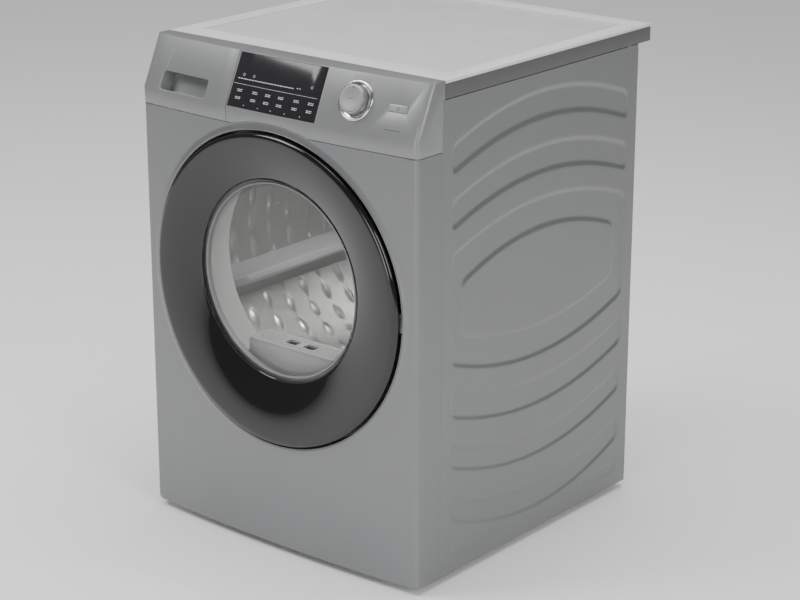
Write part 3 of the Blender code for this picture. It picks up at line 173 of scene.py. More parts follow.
def mesh_of(name, points, quads, tris=None, sharp=32.0):
    """A mesh from point and face arrays, its faces outwards, smooth but for its sharp edges."""
    tris = np.empty((0, 3), np.int64) if tris is None else tris
    if signed_volume(points, quads, tris) < 0:
        quads, tris = quads[:, ::-1], tris[:, ::-1]
    mesh = bpy.data.meshes.new(name)
    mesh.vertices.add(len(points))
    mesh.vertices.foreach_set("co", np.ascontiguousarray(points, np.float32).ravel())
    corners = np.concatenate([quads.ravel(), tris.ravel()]).astype(np.int32)
    sizes = np.concatenate([np.full(len(quads), 4), np.full(len(tris), 3)]).astype(np.int32)
    mesh.loops.add(len(corners))
    mesh.loops.foreach_set("vertex_index", corners)
    mesh.polygons.add(len(sizes))
    mesh.polygons.foreach_set("loop_start", (np.cumsum(sizes) - sizes).astype(np.int32))
    mesh.polygons.foreach_set("loop_total", sizes)
    mesh.update(calc_edges=True)
    mesh.validate()
    mesh.shade_smooth()
    mesh.set_sharp_from_angle(angle=math.radians(sharp))
    return mesh


def add_piece(name, mesh, finish, body, stands_for=()):
    """Puts a finished mesh in the scene, riding a body of the frame."""
    piece = bpy.data.objects.new(name, mesh)
    bpy.context.scene.collection.objects.link(piece)
    mesh.materials.clear()
    mesh.materials.append(finish)
    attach(piece, body)
    if stands_for:
        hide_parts(*stands_for)
    return piece


def lofted(name, rings, closed, sharp=32.0):
    """Rings of equal length joined in order: back to the first where closed, else capped by fans."""
    rings = np.asarray(rings, float)
    rows, columns = rings.shape[:2]
    points = rings.reshape(-1, 3)
    quads = quads_between(rows, columns, closed, True)
    if closed:
        return mesh_of(name, points, quads, sharp=sharp)
    return mesh_of(name, *fans(points, quads, rings), sharp=sharp)


def revolved(name, profile, centre_z, steps, sharp=32.0):
    """A profile of (radius, y) turned round a line along Y. Where it starts and ends on the line, its two
    ends close as fans; otherwise the profile is a loop."""
    profile = np.asarray(profile, float)
    on_line = profile[0, 0] == 0.0
    body = profile[1:-1] if on_line else profile
    turn = 2 * math.pi * np.arange(steps) / steps
    rings = np.stack([
        body[:, :1] * np.cos(turn),
        np.repeat(body[:, 1:], steps, axis=1),
        centre_z + body[:, :1] * np.sin(turn),
    ], axis=-1)
    points = rings.reshape(-1, 3)
    quads = quads_between(len(body), steps, not on_line, True)
    if not on_line:
        return mesh_of(name, points, quads, sharp=sharp)
    points, quads, tris = fans(points, quads, rings)
    points[-2] = (0.0, profile[0, 1], centre_z)
    points[-1] = (0.0, profile[-1, 1], centre_z)
    return mesh_of(name, points, quads, tris, sharp)


def plate_from_outline(outline, low, high, to_world):
    """A flat outline (n, 2) between two heights as points, quads and a fan at each end."""
    count = len(outline)
    rings = np.stack([np.column_stack([outline, np.full(count, h)]) for h in (low, high)])
    flat = rings.reshape(-1, 3)
    points, quads, tris = fans(flat, quads_between(2, count, False, True), rings)
    return to_world(points), quads, tris


def joined(name, parts, sharp=32.0):
    """Several closed shapes as one mesh, each turned outwards on its own."""
    points, quads, tris, first = [], [], [], 0
    for p, q, t in parts:
        if signed_volume(p, q, t) < 0:
            q, t = q[:, ::-1], t[:, ::-1]
        points.append(p)
        quads.append(q + first)
        tris.append(t + first)
        first += len(p)
    return mesh_of(name, np.concatenate(points), np.concatenate(quads), np.concatenate(tris), sharp)


def refined(node, finish, body, width=0.0008, segments=2, angle=40.0):
    """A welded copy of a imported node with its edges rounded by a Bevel, standing for the node."""
    name = node + "_surface"
    source = frame["nodes"][node]
    mesh = source.data.copy()
    mesh.name = name
    piece = add_piece(name, mesh, finish, body, (node,))
    weld = piece.modifiers.new("weld", "WELD")
    weld.merge_threshold = 0.00001
    if width:
        bevel = piece.modifiers.new("edges", "BEVEL")
        bevel.width = width
        bevel.segments = segments
        bevel.limit_method = "ANGLE"
        bevel.angle_limit = math.radians(angle)
        bevel.use_clamp_overlap = True
    graph = bpy.context.evaluated_depsgraph_get()
    shaped = bpy.data.meshes.new_from_object(piece.evaluated_get(graph))
    piece.modifiers.clear()
    piece.data = shaped
    shaped.materials.clear()
    shaped.materials.append(finish)
    shaped.shade_smooth()
    shaped.set_sharp_from_angle(angle=math.radians(30))
    return piece


def cut(piece, points, quads, tris):
    """Takes a closed shape out of a piece, once, and leaves no helper behind."""
    cutter = bpy.data.objects.new("cutter", mesh_of("cutter", points, quads, tris))
    bpy.context.scene.collection.objects.link(cutter)
    boolean = piece.modifiers.new("cut", "BOOLEAN")
    boolean.solver = "EXACT"
    boolean.object = cutter
    graph = bpy.context.evaluated_depsgraph_get()
    shaped = bpy.data.meshes.new_from_object(piece.evaluated_get(graph))
    piece.modifiers.clear()
    finish = piece.data.materials[0]
    piece.data = shaped
    shaped.materials.clear()
    shaped.materials.append(finish)
    shaped.set_sharp_from_angle(angle=math.radians(32))
    bpy.data.objects.remove(cutter, do_unlink=True)


def box_shape(low, high):
    """A box between two corners as points, quads and triangles."""
    low, high = np.array(low, float), np.array(high, float)
    outline = np.array([(low[0], low[1]), (high[0], low[1]), (high[0], high[1]), (low[0], high[1])])
    return plate_from_outline(outline, low[2], high[2], lambda p: p)


# ================================================================ the bowed front
def bow(x):
    """How far the front stands ahead of its corners: a parabola across the width."""
    return BOW * (1 - (x / HALF) ** 2)


def front_y(x):
    """Place of the front at x: the bow, and the fall away round the upright corner."""
    past = np.clip(np.abs(x) - (HALF - CORNER), 0.0, CORNER)
    return CORNER_Y - bow(x) + CORNER - np.sqrt(np.maximum(CORNER**2 - past**2, 0.0))


def slant_points(x, up, out):
    """Points on the slanted face: x across, up the slope from the crease, out from the bowed surface."""
    x, up, out = np.broadcast_arrays(*(np.asarray(v, float) for v in (x, up, out)))
    across = np.stack([np.ones_like(x), 2 * BOW * x / HALF**2, np.zeros_like(x)], axis=-1)
    across /= np.linalg.norm(across, axis=-1, keepdims=True)
    normal = np.cross(across, np.array(UP))
    place = np.stack([x, CREASE_Y - bow(x), np.full_like(x, CREASE_Z)], axis=-1)
    return place + np.array(UP) * up[..., None] + normal * out[..., None]


def on_slant(points):
    """Carries flat points (across, up, out) onto the slanted face."""
    return slant_points(points[:, 0], points[:, 1], points[:, 2])


# ================================================================ finishes
def shader_group(name, inputs, outputs, build):
    """A node group made once: sockets by name and kind, and a function that fills it."""
    if name in bpy.data.node_groups:
        return bpy.data.node_groups[name]
    tree = bpy.data.node_groups.new(name, "ShaderNodeTree")
    kinds = {"float": "NodeSocketFloat", "vector": "NodeSocketVector", "colour": "NodeSocketColor"}
    for label, kind, value in inputs:
        socket = tree.interface.new_socket(name=label, in_out="INPUT", socket_type=kinds[kind])
        if value is not None:
            socket.default_value = value
    for label, kind in outputs:
        tree.interface.new_socket(name=label, in_out="OUTPUT", socket_type=kinds[kind])
    build(tree, tree.nodes.new("NodeGroupInput"), tree.nodes.new("NodeGroupOutput"))
    return tree


def link(tree, start, end):
    tree.links.new(start, end)
    return end.node


def noise(tree, vector, scale, detail=3.0, roughness=0.55):
    node = tree.nodes.new("ShaderNodeTexNoise")
    node.inputs["Scale"].default_value = scale
    node.inputs["Detail"].default_value = detail
    node.inputs["Roughness"].default_value = roughness
    tree.links.new(vector, node.inputs["Vector"])
    return node.outputs["Fac"]


def arithmetic(tree, operation, first, second=None, third=None):
    node = tree.nodes.new("ShaderNodeMath")
    node.operation = operation
    for socket, value in zip(node.inputs, (first, second, third)):
        if value is None:
            continue
        if isinstance(value, (int, float)):
            socket.default_value = value
        else:
            tree.links.new(value, socket)
    return node.outputs[0]


def spread(tree, value, low, high, from_low=0.0, from_high=1.0):
    """A value carried from one range to another."""
    node = tree.nodes.new("ShaderNodeMapRange")
    node.inputs["From Min"].default_value = from_low
    node.inputs["From Max"].default_value = from_high
    node.inputs["To Min"].default_value = low
    node.inputs["To Max"].default_value = high
    tree.links.new(value, node.inputs["Value"])
    return node.outputs["Result"]


def stretched(tree, vector, scale):
    node = tree.nodes.new("ShaderNodeMapping")
    node.inputs["Scale"].default_value = scale
    tree.links.new(vector, node.inputs["Vector"])
    return node.outputs["Vector"]


def shaded(tree, colour, factor):
    """A colour made lighter or darker by a factor."""
    node = tree.nodes.new("ShaderNodeMix")
    node.data_type = "RGBA"
    node.blend_type = "MULTIPLY"
    node.inputs["Factor"].default_value = 1.0
    grey = tree.nodes.new("ShaderNodeCombineColor")
    for channel in grey.inputs:
        tree.links.new(factor, channel)
    tree.links.new(colour, node.inputs["A"])
    tree.links.new(grey.outputs["Color"], node.inputs["B"])
    return node.outputs["Result"]


SURFACE_INPUTS = [("Vector", "vector", None), ("Colour", "colour", (0.5, 0.5, 0.5, 1.0)),
                  ("Roughness", "float", 0.5), ("Amount", "float", 1.0)]
SURFACE_OUTPUTS = [("Colour", "colour"), ("Roughness", "float"), ("Height", "float")]


def finish_group(name, fine, coarse, tint, rough, stretch=(1.0, 1.0, 1.0)):
    """Fine and coarse noise that vary a surface's colour and roughness, and the fine one its height."""

    def build(tree, entry, leave):
        vector = stretched(tree, entry.outputs["Vector"], stretch)
        small = noise(tree, vector, fine, 4.0)
        large = noise(tree, entry.outputs["Vector"], coarse, 2.0)
        both = arithmetic(tree, "ADD", arithmetic(tree, "MULTIPLY", small, 0.6),
                          arithmetic(tree, "MULTIPLY", large, 0.4))
        centred = arithmetic(tree, "SUBTRACT", both, 0.5)
        strength = arithmetic(tree, "MULTIPLY", centred, entry.outputs["Amount"])
        factor = arithmetic(tree, "MULTIPLY_ADD", strength, tint, 1.0)
        link(tree, shaded(tree, entry.outputs["Colour"], factor), leave.inputs["Colour"])
        change = arithmetic(tree, "MULTIPLY_ADD", strength, rough, entry.outputs["Roughness"])
        link(tree, arithmetic(tree, "MAXIMUM", change, 0.02), leave.inputs["Roughness"])
        link(tree, small, leave.inputs["Height"])

    return shader_group(name, SURFACE_INPUTS, SURFACE_OUTPUTS, build)


def surface_kinds():
    """The kinds of surface that the finishes share."""
    return {
        "flake_paint": finish_group("flake_paint", 2600.0, 5.0, 0.30, 0.18),
        "moulded_grain": finish_group("moulded_grain", 900.0, 12.0, 0.14, 0.25),
        "brushed_metal": finish_group("brushed_metal", 700.0, 8.0, 0.35, 0.30, (1.0, 0.03, 1.0)),
        "brushed_across": finish_group("brushed_across", 900.0, 8.0, 0.22, 0.25, (0.03, 1.0, 1.0)),
        "zinc_spangle": finish_group("zinc_spangle", 90.0, 22.0, 0.55, 0.45),
        "polished": finish_group("polished", 60.0, 6.0, 0.10, 0.05),
        "cast_skin": finish_group("cast_skin", 420.0, 30.0, 0.45, 0.35),
    }


def material_of(name, colour, kind, metallic=0.0, roughness=0.5, amount=1.0, bump=0.02, coat=0.0):
    """A Principled material whose colour, roughness and height come from one kind of surface."""
    if name in bpy.data.materials:
        return bpy.data.materials[name]
    made = bpy.data.materials.new(name)
    made.use_nodes = True
    tree = made.node_tree
    shader = tree.nodes["Principled BSDF"]
    place = tree.nodes.new("ShaderNodeTexCoord")
    group = tree.nodes.new("ShaderNodeGroup")
    group.node_tree = surface_kinds()[kind]
    tree.links.new(place.outputs["Object"], group.inputs["Vector"])
    group.inputs["Colour"].default_value = (*colour, 1.0)
    group.inputs["Roughness"].default_value = roughness
    group.inputs["Amount"].default_value = amount
    tree.links.new(group.outputs["Colour"], shader.inputs["Base Color"])
    tree.links.new(group.outputs["Roughness"], shader.inputs["Roughness"])
    relief = tree.nodes.new("ShaderNodeBump")
    relief.inputs["Strength"].default_value = bump
    relief.inputs["Distance"].default_value = 0.001
    tree.links.new(group.outputs["Height"], relief.inputs["Height"])
    tree.links.new(relief.outputs["Normal"], shader.inputs["Normal"])
    shader.inputs["Metallic"].default_value = metallic
    shader.inputs["Coat Weight"].default_value = coat
    shader.inputs["Coat Roughness"].default_value = 0.06
    made.diffuse_color = (*colour, 1.0)
    return made


def clear_material(name, colour, clear, roughness=0.02):
    """Glass that lets light straight through: more opaque, and so more mirror-like, at a low angle."""
    if name in bpy.data.materials:
        return bpy.data.materials[name]
    made = material_of(name, colour, "polished", 0.0, roughness, 0.6, 0.0)
    tree = made.node_tree
    shader = tree.nodes["Principled BSDF"]
    weight = tree.nodes.new("ShaderNodeLayerWeight")
    steep = arithmetic(tree, "POWER", weight.outputs["Facing"], 4.0)
    opaque = spread(tree, steep, 1.0 - clear, 1.0)
    tree.links.new(opaque, shader.inputs["Alpha"])
    shader.inputs["Specular IOR Level"].default_value = 1.0
    return made


def striped_material(name, colour, gap, pitch, axis, metallic, roughness):
    """Fins or ribs: bands of even pitch along one axis, dark in the gaps: painted shade between the coil's fins
    and the belt's ribs, plain dark bands on the circuit board.
    """
    made = material_of(name, colour, "zinc_spangle", metallic, roughness, 0.4, 0.05)
    tree = made.node_tree
    shader = tree.nodes["Principled BSDF"]
    if "Fins" in tree.nodes:
        return made
    place = next(n for n in tree.nodes if n.type == "TEX_COORD")
    split = tree.nodes.new("ShaderNodeSeparateXYZ")
    split.name = "Fins"
    tree.links.new(place.outputs["Object"], split.inputs["Vector"])
    phase = arithmetic(tree, "FRACT", arithmetic(tree, "DIVIDE", split.outputs[axis], pitch))
    band = arithmetic(tree, "GREATER_THAN", phase, gap)
    # Painted shade in each gap: the colour falls to 0.12 of itself there.
    factor = spread(tree, band, 0.12, 1.0)
    group = next(n for n in tree.nodes if n.type == "GROUP")
    tree.links.new(shaded(tree, group.outputs["Colour"], factor), shader.inputs["Base Color"])
    return made


def lit_top_shaded_side_material(name, upper, lower, height, roughness):
    """Two colours of moulding that meet at one height, the lower one below it: a lit top above, and painted
    shade on the side of the same plastic below.
    """
    if name in bpy.data.materials:
        return bpy.data.materials[name]
    made = material_of(name, upper, "moulded_grain", 0.0, roughness, 1.0, 0.10)
    tree = made.node_tree
    place = next(n for n in tree.nodes if n.type == "TEX_COORD")
    group = next(n for n in tree.nodes if n.type == "GROUP")
    split = tree.nodes.new("ShaderNodeSeparateXYZ")
    tree.links.new(place.outputs["Object"], split.inputs["Vector"])
    above = spread(tree, split.outputs["Z"], 0.0, 1.0, height - 0.0004, height + 0.0004)
    blend = tree.nodes.new("ShaderNodeMix")
    blend.data_type = "RGBA"
    blend.inputs["A"].default_value = (*lower, 1.0)
    blend.inputs["B"].default_value = (*upper, 1.0)
    tree.links.new(above, blend.inputs["Factor"])
    tree.links.new(blend.outputs["Result"], group.inputs["Colour"])
    return made


# Painted shade: the worktop's near-black side stands for shade on the same grey plastic as its light top.
WORKTOP_PAINTED_SHADE = (0.085, 0.086, 0.088)


def finishes():
    """Every finish of the dryer by name."""
    tint = bpy.context.scene.dryer_colours
    return {
        "casing": material_of("casing_paint", tint.casing, "flake_paint", 0.55, 0.36, 1.0, 0.015, 0.25),
        "fascia": material_of("fascia_satin", tint.fascia, "flake_paint", 0.45, 0.42, 0.8, 0.012, 0.1),
        "knob": material_of("knob_spun", (0.30, 0.303, 0.307), "brushed_across", 0.6, 0.38, 1.0, 0.03),
        # Worktop rim: light grey on top, painted shade on its sides, one plastic drawn lit and shaded.
        "rim": lit_top_shaded_side_material("worktop_moulding", tint.worktop, WORKTOP_PAINTED_SHADE, TOP_HIGH.z - 0.0045, 0.42),
        "board": material_of("worktop_laminate", tint.board, "moulded_grain", 0.0, 0.50, 1.6, 0.16),
        "ring": material_of("door_gloss", tint.ring, "polished", 0.0, 0.06, 1.0, 0.0, 0.3),
        "window": clear_material("window_glass", (0.008, 0.008, 0.009), 0.90, 0.025),
        "bowl": clear_material("bowl_glass", (0.10, 0.11, 0.11), 0.965, 0.03),
        "display": material_of("display_gloss", (0.017, 0.017, 0.019), "polished", 0.0, 0.12, 1.0, 0.0),
        "chrome": material_of("bezel_chrome", (0.72, 0.72, 0.73), "brushed_across", 1.0, 0.14, 0.5, 0.01),
        "grey": material_of("grey_moulding", (0.36, 0.36, 0.36), "moulded_grain", 0.0, 0.48, 1.0, 0.12),
        "light": material_of("light_moulding", (0.60, 0.60, 0.59), "moulded_grain", 0.0, 0.46, 1.0, 0.10),
        "dark": material_of("dark_moulding", (0.035, 0.035, 0.037), "moulded_grain", 0.0, 0.50, 1.0, 0.12),
        "steel": material_of("drum_steel", (0.50, 0.50, 0.49), "brushed_metal", 0.9, 0.34, 1.0, 0.04),
        "bright": material_of("ground_steel", (0.55, 0.55, 0.55), "brushed_metal", 1.0, 0.25, 0.6, 0.02),
        "zinc": material_of("zinc_sheet", (0.46, 0.47, 0.48), "zinc_spangle", 0.85, 0.42, 1.0, 0.04),
        "rubber": material_of("black_rubber", (0.022, 0.022, 0.022), "moulded_grain", 0.0, 0.72, 1.0, 0.25),
        "cast": material_of("black_enamel", (0.035, 0.035, 0.038), "cast_skin", 0.2, 0.45, 1.0, 0.30),
        "copper": material_of("copper_tube", (0.62, 0.30, 0.17), "brushed_metal", 1.0, 0.30, 1.2, 0.03),
        "mark": material_of("printed_mark", (0.55, 0.55, 0.56), "moulded_grain", 0.0, 0.55, 0.5, 0.02),
        # Coil and belt: painted shade in the gaps between fins and ribs; circuit board: dark bands across it.
        "coil": striped_material("coil_fins", (0.62, 0.63, 0.64), 0.35, 0.0022, "X", 0.85, 0.40),
        "belt": striped_material("belt_rubber", (0.03, 0.03, 0.03), 0.30, 0.0020, "Y", 0.0, 0.70),
        "solder": striped_material("circuit_board", (0.03, 0.12, 0.06), 0.12, 0.0090, "X", 0.0, 0.45),
    }


# ================================================================ casing
def turn_angles(steps, extra=()):
    return np.unique(np.concatenate([2 * math.pi * np.arange(steps) / steps, np.mod(extra, 2 * math.pi)]))


def on_circle(turns, radius, back, centre=DOOR_Z, follow=True):
    """Circle of points about the door's axis, so far behind the bowed front or at one place along y."""
    x = radius * np.cos(turns)
    y = front_y(x) + back if follow else np.full_like(x, back)
    return np.stack([x, y, centre + radius * np.sin(turns)], axis=-1)


def front_panel_mesh(steps):
    """Rings about the door's axis: the recess wall, the round wall, the rolled rim and the flare, then the
    sheet out to the panel's square edge, round to the side returns, and back along the inside."""
    top, bottom = SIDE_HIGH.z - 0.082, SIDE_LOW.z
    corners = [math.atan2(z - DOOR_Z, side * HALF) for z in (top, bottom) for side in (1, -1)]
    turns = turn_angles(steps, corners)
    c, s = np.cos(turns), np.sin(turns)
    reach_x = HALF / np.maximum(np.abs(c), 1e-9)
    reach_z = np.where(s > 0, top - DOOR_Z, DOOR_Z - bottom) / np.maximum(np.abs(s), 1e-9)
    outer = FLARE_RADIUS + 0.0003
    edge = np.maximum(np.minimum(reach_x, reach_z), outer + 0.0006)
    on_side = (reach_x <= reach_z + 1e-6) & (edge == np.minimum(reach_x, reach_z))
    rim, wall = -RIM_RISE, RIM_RADIUS - 0.0001
    hole = MOUTH_RADIUS + 0.002
    rings = [on_circle(turns, hole, RECESS_Y, AXIS_Z, False)]
    rings += [on_circle(turns, BARREL_RADIUS - 0.004, RECESS_Y, follow=False)]
    for a in np.linspace(0.2, math.pi / 2, 5):
        rings.append(on_circle(turns, BARREL_RADIUS - 0.004 + 0.004 * math.sin(a),
                               RECESS_Y - 0.004 * (1 - math.cos(a)), follow=False))
    for t in (0.35, 0.7):
        last = on_circle(turns, BARREL_RADIUS, rim + 0.0008)
        rings.append(rings[6] * (1 - t) + last * t)
    middle, round_off = (BARREL_RADIUS + RIM_RADIUS) / 2, (RIM_RADIUS - BARREL_RADIUS) / 2
    for a in np.linspace(0.0, math.pi, 9):
        rings.append(on_circle(turns, middle - round_off * math.cos(a), rim + 0.0007 - 0.0007 * math.sin(a)))
    for t in np.linspace(0.12, 1.0, 8):
        fall = 3 * t**2 - 2 * t**3
        radius = RIM_RADIUS + (FLARE_RADIUS - RIM_RADIUS) * t
        rings.append(on_circle(turns, radius, rim * (1 - fall) * (1 - 0.25 * t)))
    inner_edge = np.maximum(edge * (1 - 0.0095 / HALF), outer + (edge - outer) * 0.7)
    for t in np.linspace(0.0, 1.0, 15):
        rings.append(on_circle(turns, outer + (inner_edge - outer) * t, 0.0))
    for k, d in enumerate((0.0080, 0.0066, 0.0052, 0.0038, 0.0026, 0.0015, 0.0007, 0.0002, 0.0)):
        near = outer + (edge - outer) * (0.7 + 0.0375 * k)
        rings.append(on_circle(turns, np.maximum(edge * (1 - d / HALF), near) if d else edge, 0.0))
    rings += side_returns(rings[-1], on_side)
    back = on_circle(turns, np.maximum(edge * (1 - 0.012 / HALF), outer), SHEET)
    rings += [back, on_circle(turns, RIM_RADIUS + 0.003, SHEET), on_circle(turns, wall, rim + 0.003)]
    rings += [on_circle(turns, wall, RECESS_Y + 0.0015, follow=False)]
    rings += [on_circle(turns, hole, RECESS_Y + 0.0015, AXIS_Z, False)]
    return lofted("front_panel_surface", rings, True, 24.0)


def side_returns(outline, on_side):
    """Carries the panel's outline back along its sides, and elsewhere through the sheet's thickness."""
    seam = PANEL_HIGH.y
    out = outline.copy()
    out[:, 1] = np.where(on_side, seam, outline[:, 1] + 0.4 * SHEET)
    inward = np.where(on_side, (HALF - SHEET) / HALF, 1.0)
    turned_in = out.copy()
    turned_in[:, 0] *= inward
    turned_in[:, 1] = np.where(on_side, seam, outline[:, 1] + 0.8 * SHEET)
    inside = turned_in.copy()
    inside[:, 0] = np.where(on_side, turned_in[:, 0], outline[:, 0] * 0.9985)
    inside[:, 1] = np.where(on_side, CORNER_Y + CORNER + SHEET, outline[:, 1] + SHEET)
    return [out, turned_in, inside]


def band(y, z, middle, drop, half, start, end, edge=0.0055):
    """Depth, 0 to 1, of a band pressed along a parabola: its middle line falls by drop at both ends."""
    centre, reach = (start + end) / 2, (end - start) / 2
    line = middle - drop * ((y - centre) / reach) ** 2
    across = np.abs(z - line) - half + 0.012
    along = np.abs(y - centre) - reach + 0.012
    past = np.hypot(np.maximum(across, 0.0), np.maximum(along, 0.0)) - 0.012
    t = np.clip(-past / edge, 0.0, 1.0)
    return t * t * (3 - 2 * t)


def rib_depth(y, z):
    """Depth of everything pressed into a side panel: five bands, a frame between them and two marks."""
    start, end = SIDE_LOW.y + 0.023, SIDE_HIGH.y - 0.028
    deep = np.zeros_like(y)
    for middle, drop, half in ((0.762, 0.048, 0.0245), (0.670, 0.047, 0.0245), (0.2655, -0.045, 0.0250),
                               (0.1705, -0.049, 0.0220), (0.0735, -0.053, 0.0225)):
        deep = np.maximum(deep, band(y, z, middle, drop, half, start, end))
    centre, reach = (start + end) / 2, (end - start) / 2
    fall = ((y - centre) / reach) ** 2
    outer = lens_depth(y, z, centre, reach, 0.606 - 0.046 * fall, 0.329 + 0.047 * fall)
    inner = lens_depth(y, z, centre - 0.002, reach - 0.029, 0.556 - 0.058 * fall, 0.382 + 0.045 * fall)
    deep = np.maximum(deep, outer * (1 - inner))
    for middle in (SIDE_LOW.y + 0.085, SIDE_HIGH.y - 0.085):
        deep = np.maximum(deep, 0.6 * band(y, z, 0.049, 0.0, 0.0115, middle - 0.055, middle + 0.055, 0.004))
    return deep


def lens_depth(y, z, centre, reach, upper, lower):
    """1 inside a shape with straight ends and curved upper and lower edges, falling to 0 at its border."""
    across = np.maximum(z - upper, lower - z) + 0.014
    along = np.abs(y - centre) - reach + 0.014
    past = np.hypot(np.maximum(across, 0.0), np.maximum(along, 0.0)) - 0.014
    t = np.clip(-past / 0.0055, 0.0, 1.0)
    return t * t * (3 - 2 * t)


def side_panel_mesh(name, side, depth):
    """A folded sheet: its section goes round the front fold, along the wall and round the rear fold; the
    wall is pressed in by the ribs' depth."""
    front, back, inset = SIDE_LOW.y, SIDE_HIGH.y, 0.0025
    fold = np.linspace(0, math.pi / 2, 6)
    along = np.linspace(front + inset, back - inset, 178)
    x = np.concatenate([[HALF - 0.010], HALF - inset + inset * np.sin(fold), np.full(176, HALF),
                        HALF - inset + inset * np.cos(fold), [HALF - 0.0135]])
    y = np.concatenate([[front], front + inset - inset * np.cos(fold), along[1:-1],
                        back - inset + inset * np.sin(fold), [back]])
    normal = np.stack([-np.gradient(y), np.gradient(x)])
    normal /= -np.hypot(*normal)
    z = np.linspace(SIDE_LOW.z, SIDE_HIGH.z, 240)
    yy, zz = np.meshgrid(y, z)
    pressed = np.where(np.abs(x - HALF) < 1e-9, 1.0, 0.0)[None, :] * rib_depth(yy, zz) * depth
    outer = np.stack([side * (x[None, :] - pressed), yy, zz], axis=-1)
    inner_x = x + normal[0] * -SHEET * 0.9
    inner_y = y + normal[1] * -SHEET * 0.9
    inner = np.stack([side * (inner_x[None, :] - pressed), np.broadcast_to(inner_y, yy.shape), zz], axis=-1)
    rows, columns = yy.shape
    grid = np.concatenate([outer, inner[:, ::-1]], axis=1)
    quads = quads_between(rows, 2 * columns, False, True)
    k = np.arange(columns - 1)
    caps = []
    for row in (0, rows - 1):
        base = row * 2 * columns
        inside = base + 2 * columns - 1 - k
        cap = np.stack([base + k, base + k + 1, inside - 1, inside], axis=-1)
        caps.append(cap[:, ::-1] if row else cap)
    return mesh_of(name, grid.reshape(-1, 3), np.concatenate([quads[:, ::-1], *caps]), sharp=38.0)


def rear_panel_mesh():
    """A flat sheet with two rows of pressed louvres, each a half-round swelling, and a raised border."""
    x = np.linspace(REAR_LOW.x, REAR_HIGH.x, 190)
    z = np.linspace(REAR_LOW.z, REAR_HIGH.z, 220)
    xx, zz = np.meshgrid(x, z)
    proud = np.zeros_like(xx)
    for centre_x in (-0.245, 0.245):
        for k in range(9):
            u = (xx - centre_x) / 0.034
            v = (zz - (REAR_LOW.z + 0.46 + 0.026 * k)) / 0.0085
            inside = np.clip(1 - u**2, 0, 1) ** 0.5 * np.clip(1 - v**2, 0, 1) ** 0.5
            proud = np.maximum(proud, inside * 0.0035)
    from_sides = np.minimum(xx - REAR_LOW.x, REAR_HIGH.x - xx)
    border = np.minimum(from_sides, np.minimum(zz - REAR_LOW.z, REAR_HIGH.z - zz))
    proud += 0.0012 * np.clip((0.020 - np.abs(border - 0.022)) / 0.008, 0, 1) * (border > 0.004)
    face = np.stack([xx, REAR_HIGH.y + proud, zz], axis=-1)
    flat = np.stack([xx, np.full_like(xx, REAR_LOW.y), zz], axis=-1)
    return slab_mesh("rear_panel_surface", face, flat)


def slab_mesh(name, face, behind, sharp=35.0):
    """Two grids of the same size, joined round their borders into one closed slab."""
    rows, columns = face.shape[:2]
    count = rows * columns
    quads = quads_between(rows, columns, False, False)
    border = np.concatenate([
        np.arange(columns - 1), np.arange(rows - 1) * columns + columns - 1,
        (rows - 1) * columns + np.arange(columns - 1, 0, -1), np.arange(rows - 1, 0, -1) * columns,
    ])
    after = np.roll(border, -1)
    rim = np.stack([border, border + count, after + count, after], axis=-1)
    points = np.concatenate([face.reshape(-1, 3), behind.reshape(-1, 3)])
    return mesh_of(name, points, np.concatenate([quads, quads[:, ::-1] + count, rim]), sharp=sharp)


def duct_cover_mesh():
    """A pressed dish: rounded rectangles that shrink towards its back, which has two raised rings."""
    centre = np.array([0.0, (DUCT_LOW.z + DUCT_HIGH.z) / 2])
    half = np.array([DUCT_HIGH.x, (DUCT_HIGH.z - DUCT_LOW.z) / 2])

    def outline(inset):
        """A superellipse-like rounded rectangle, inset from the cover's edge."""
        a = 2 * math.pi * np.arange(240) / 240
        size = half - inset
        power = 0.32
        return np.column_stack([size[0] * np.sign(np.cos(a)) * np.abs(np.cos(a)) ** power,
                                size[1] * np.sign(np.sin(a)) * np.abs(np.sin(a)) ** power]) + centre

    low, high = DUCT_LOW.y, DUCT_HIGH.y
    steps = [(0.0, low), (0.0, low + 0.001), (0.001, low + 0.004), (0.003, high - 0.006),
             (0.0045, high - 0.0025),
             (0.007, high - 0.0008), (0.011, high - 0.0002), (0.030, high - 0.0002), (0.034, high - 0.0030),
             (0.044, high - 0.0030), (0.048, high - 0.0002), (0.080, high - 0.0002), (0.084, high - 0.0030),
             (0.094, high - 0.0030), (0.098, high - 0.0002), (0.150, high - 0.0002)]
    inside = [(i + 0.001, y - 0.001) for i, y in steps[::-1][:-2]] + [(0.001, low)]
    rings = [np.insert(outline(i), 1, y, axis=1) for i, y in steps]
    rings += [np.insert(outline(i), 1, y, axis=1) for i, y in inside]
    outer = np.array(rings[:len(steps)])
    inner = np.array(rings[len(steps):])
    whole = np.concatenate([outer[::-1], inner[::-1]])
    return lofted("rear_duct_cover_surface", whole, False, 40.0)


def screw_parts(places, radius=0.0042):
    """Domed heads with a hexagonal pit, facing the rear: one closed shape at each place."""
    parts = []
    turn = 2 * math.pi * np.arange(18) / 18
    profile = [(1.0, 0.0), (1.0, 0.25), (0.86, 0.42), (0.60, 0.52), (0.46, 0.54), (0.40, 0.24)]
    for x, y, z in places:
        rings = np.stack([
            np.stack([x + radius * r * np.cos(turn), np.full(18, y + radius * h),
                      z + radius * r * np.sin(turn)], axis=-1) for r, h in profile])
        points = rings.reshape(-1, 3)
        parts.append(fans(points, quads_between(len(profile), 18, False, True), rings))
    return parts


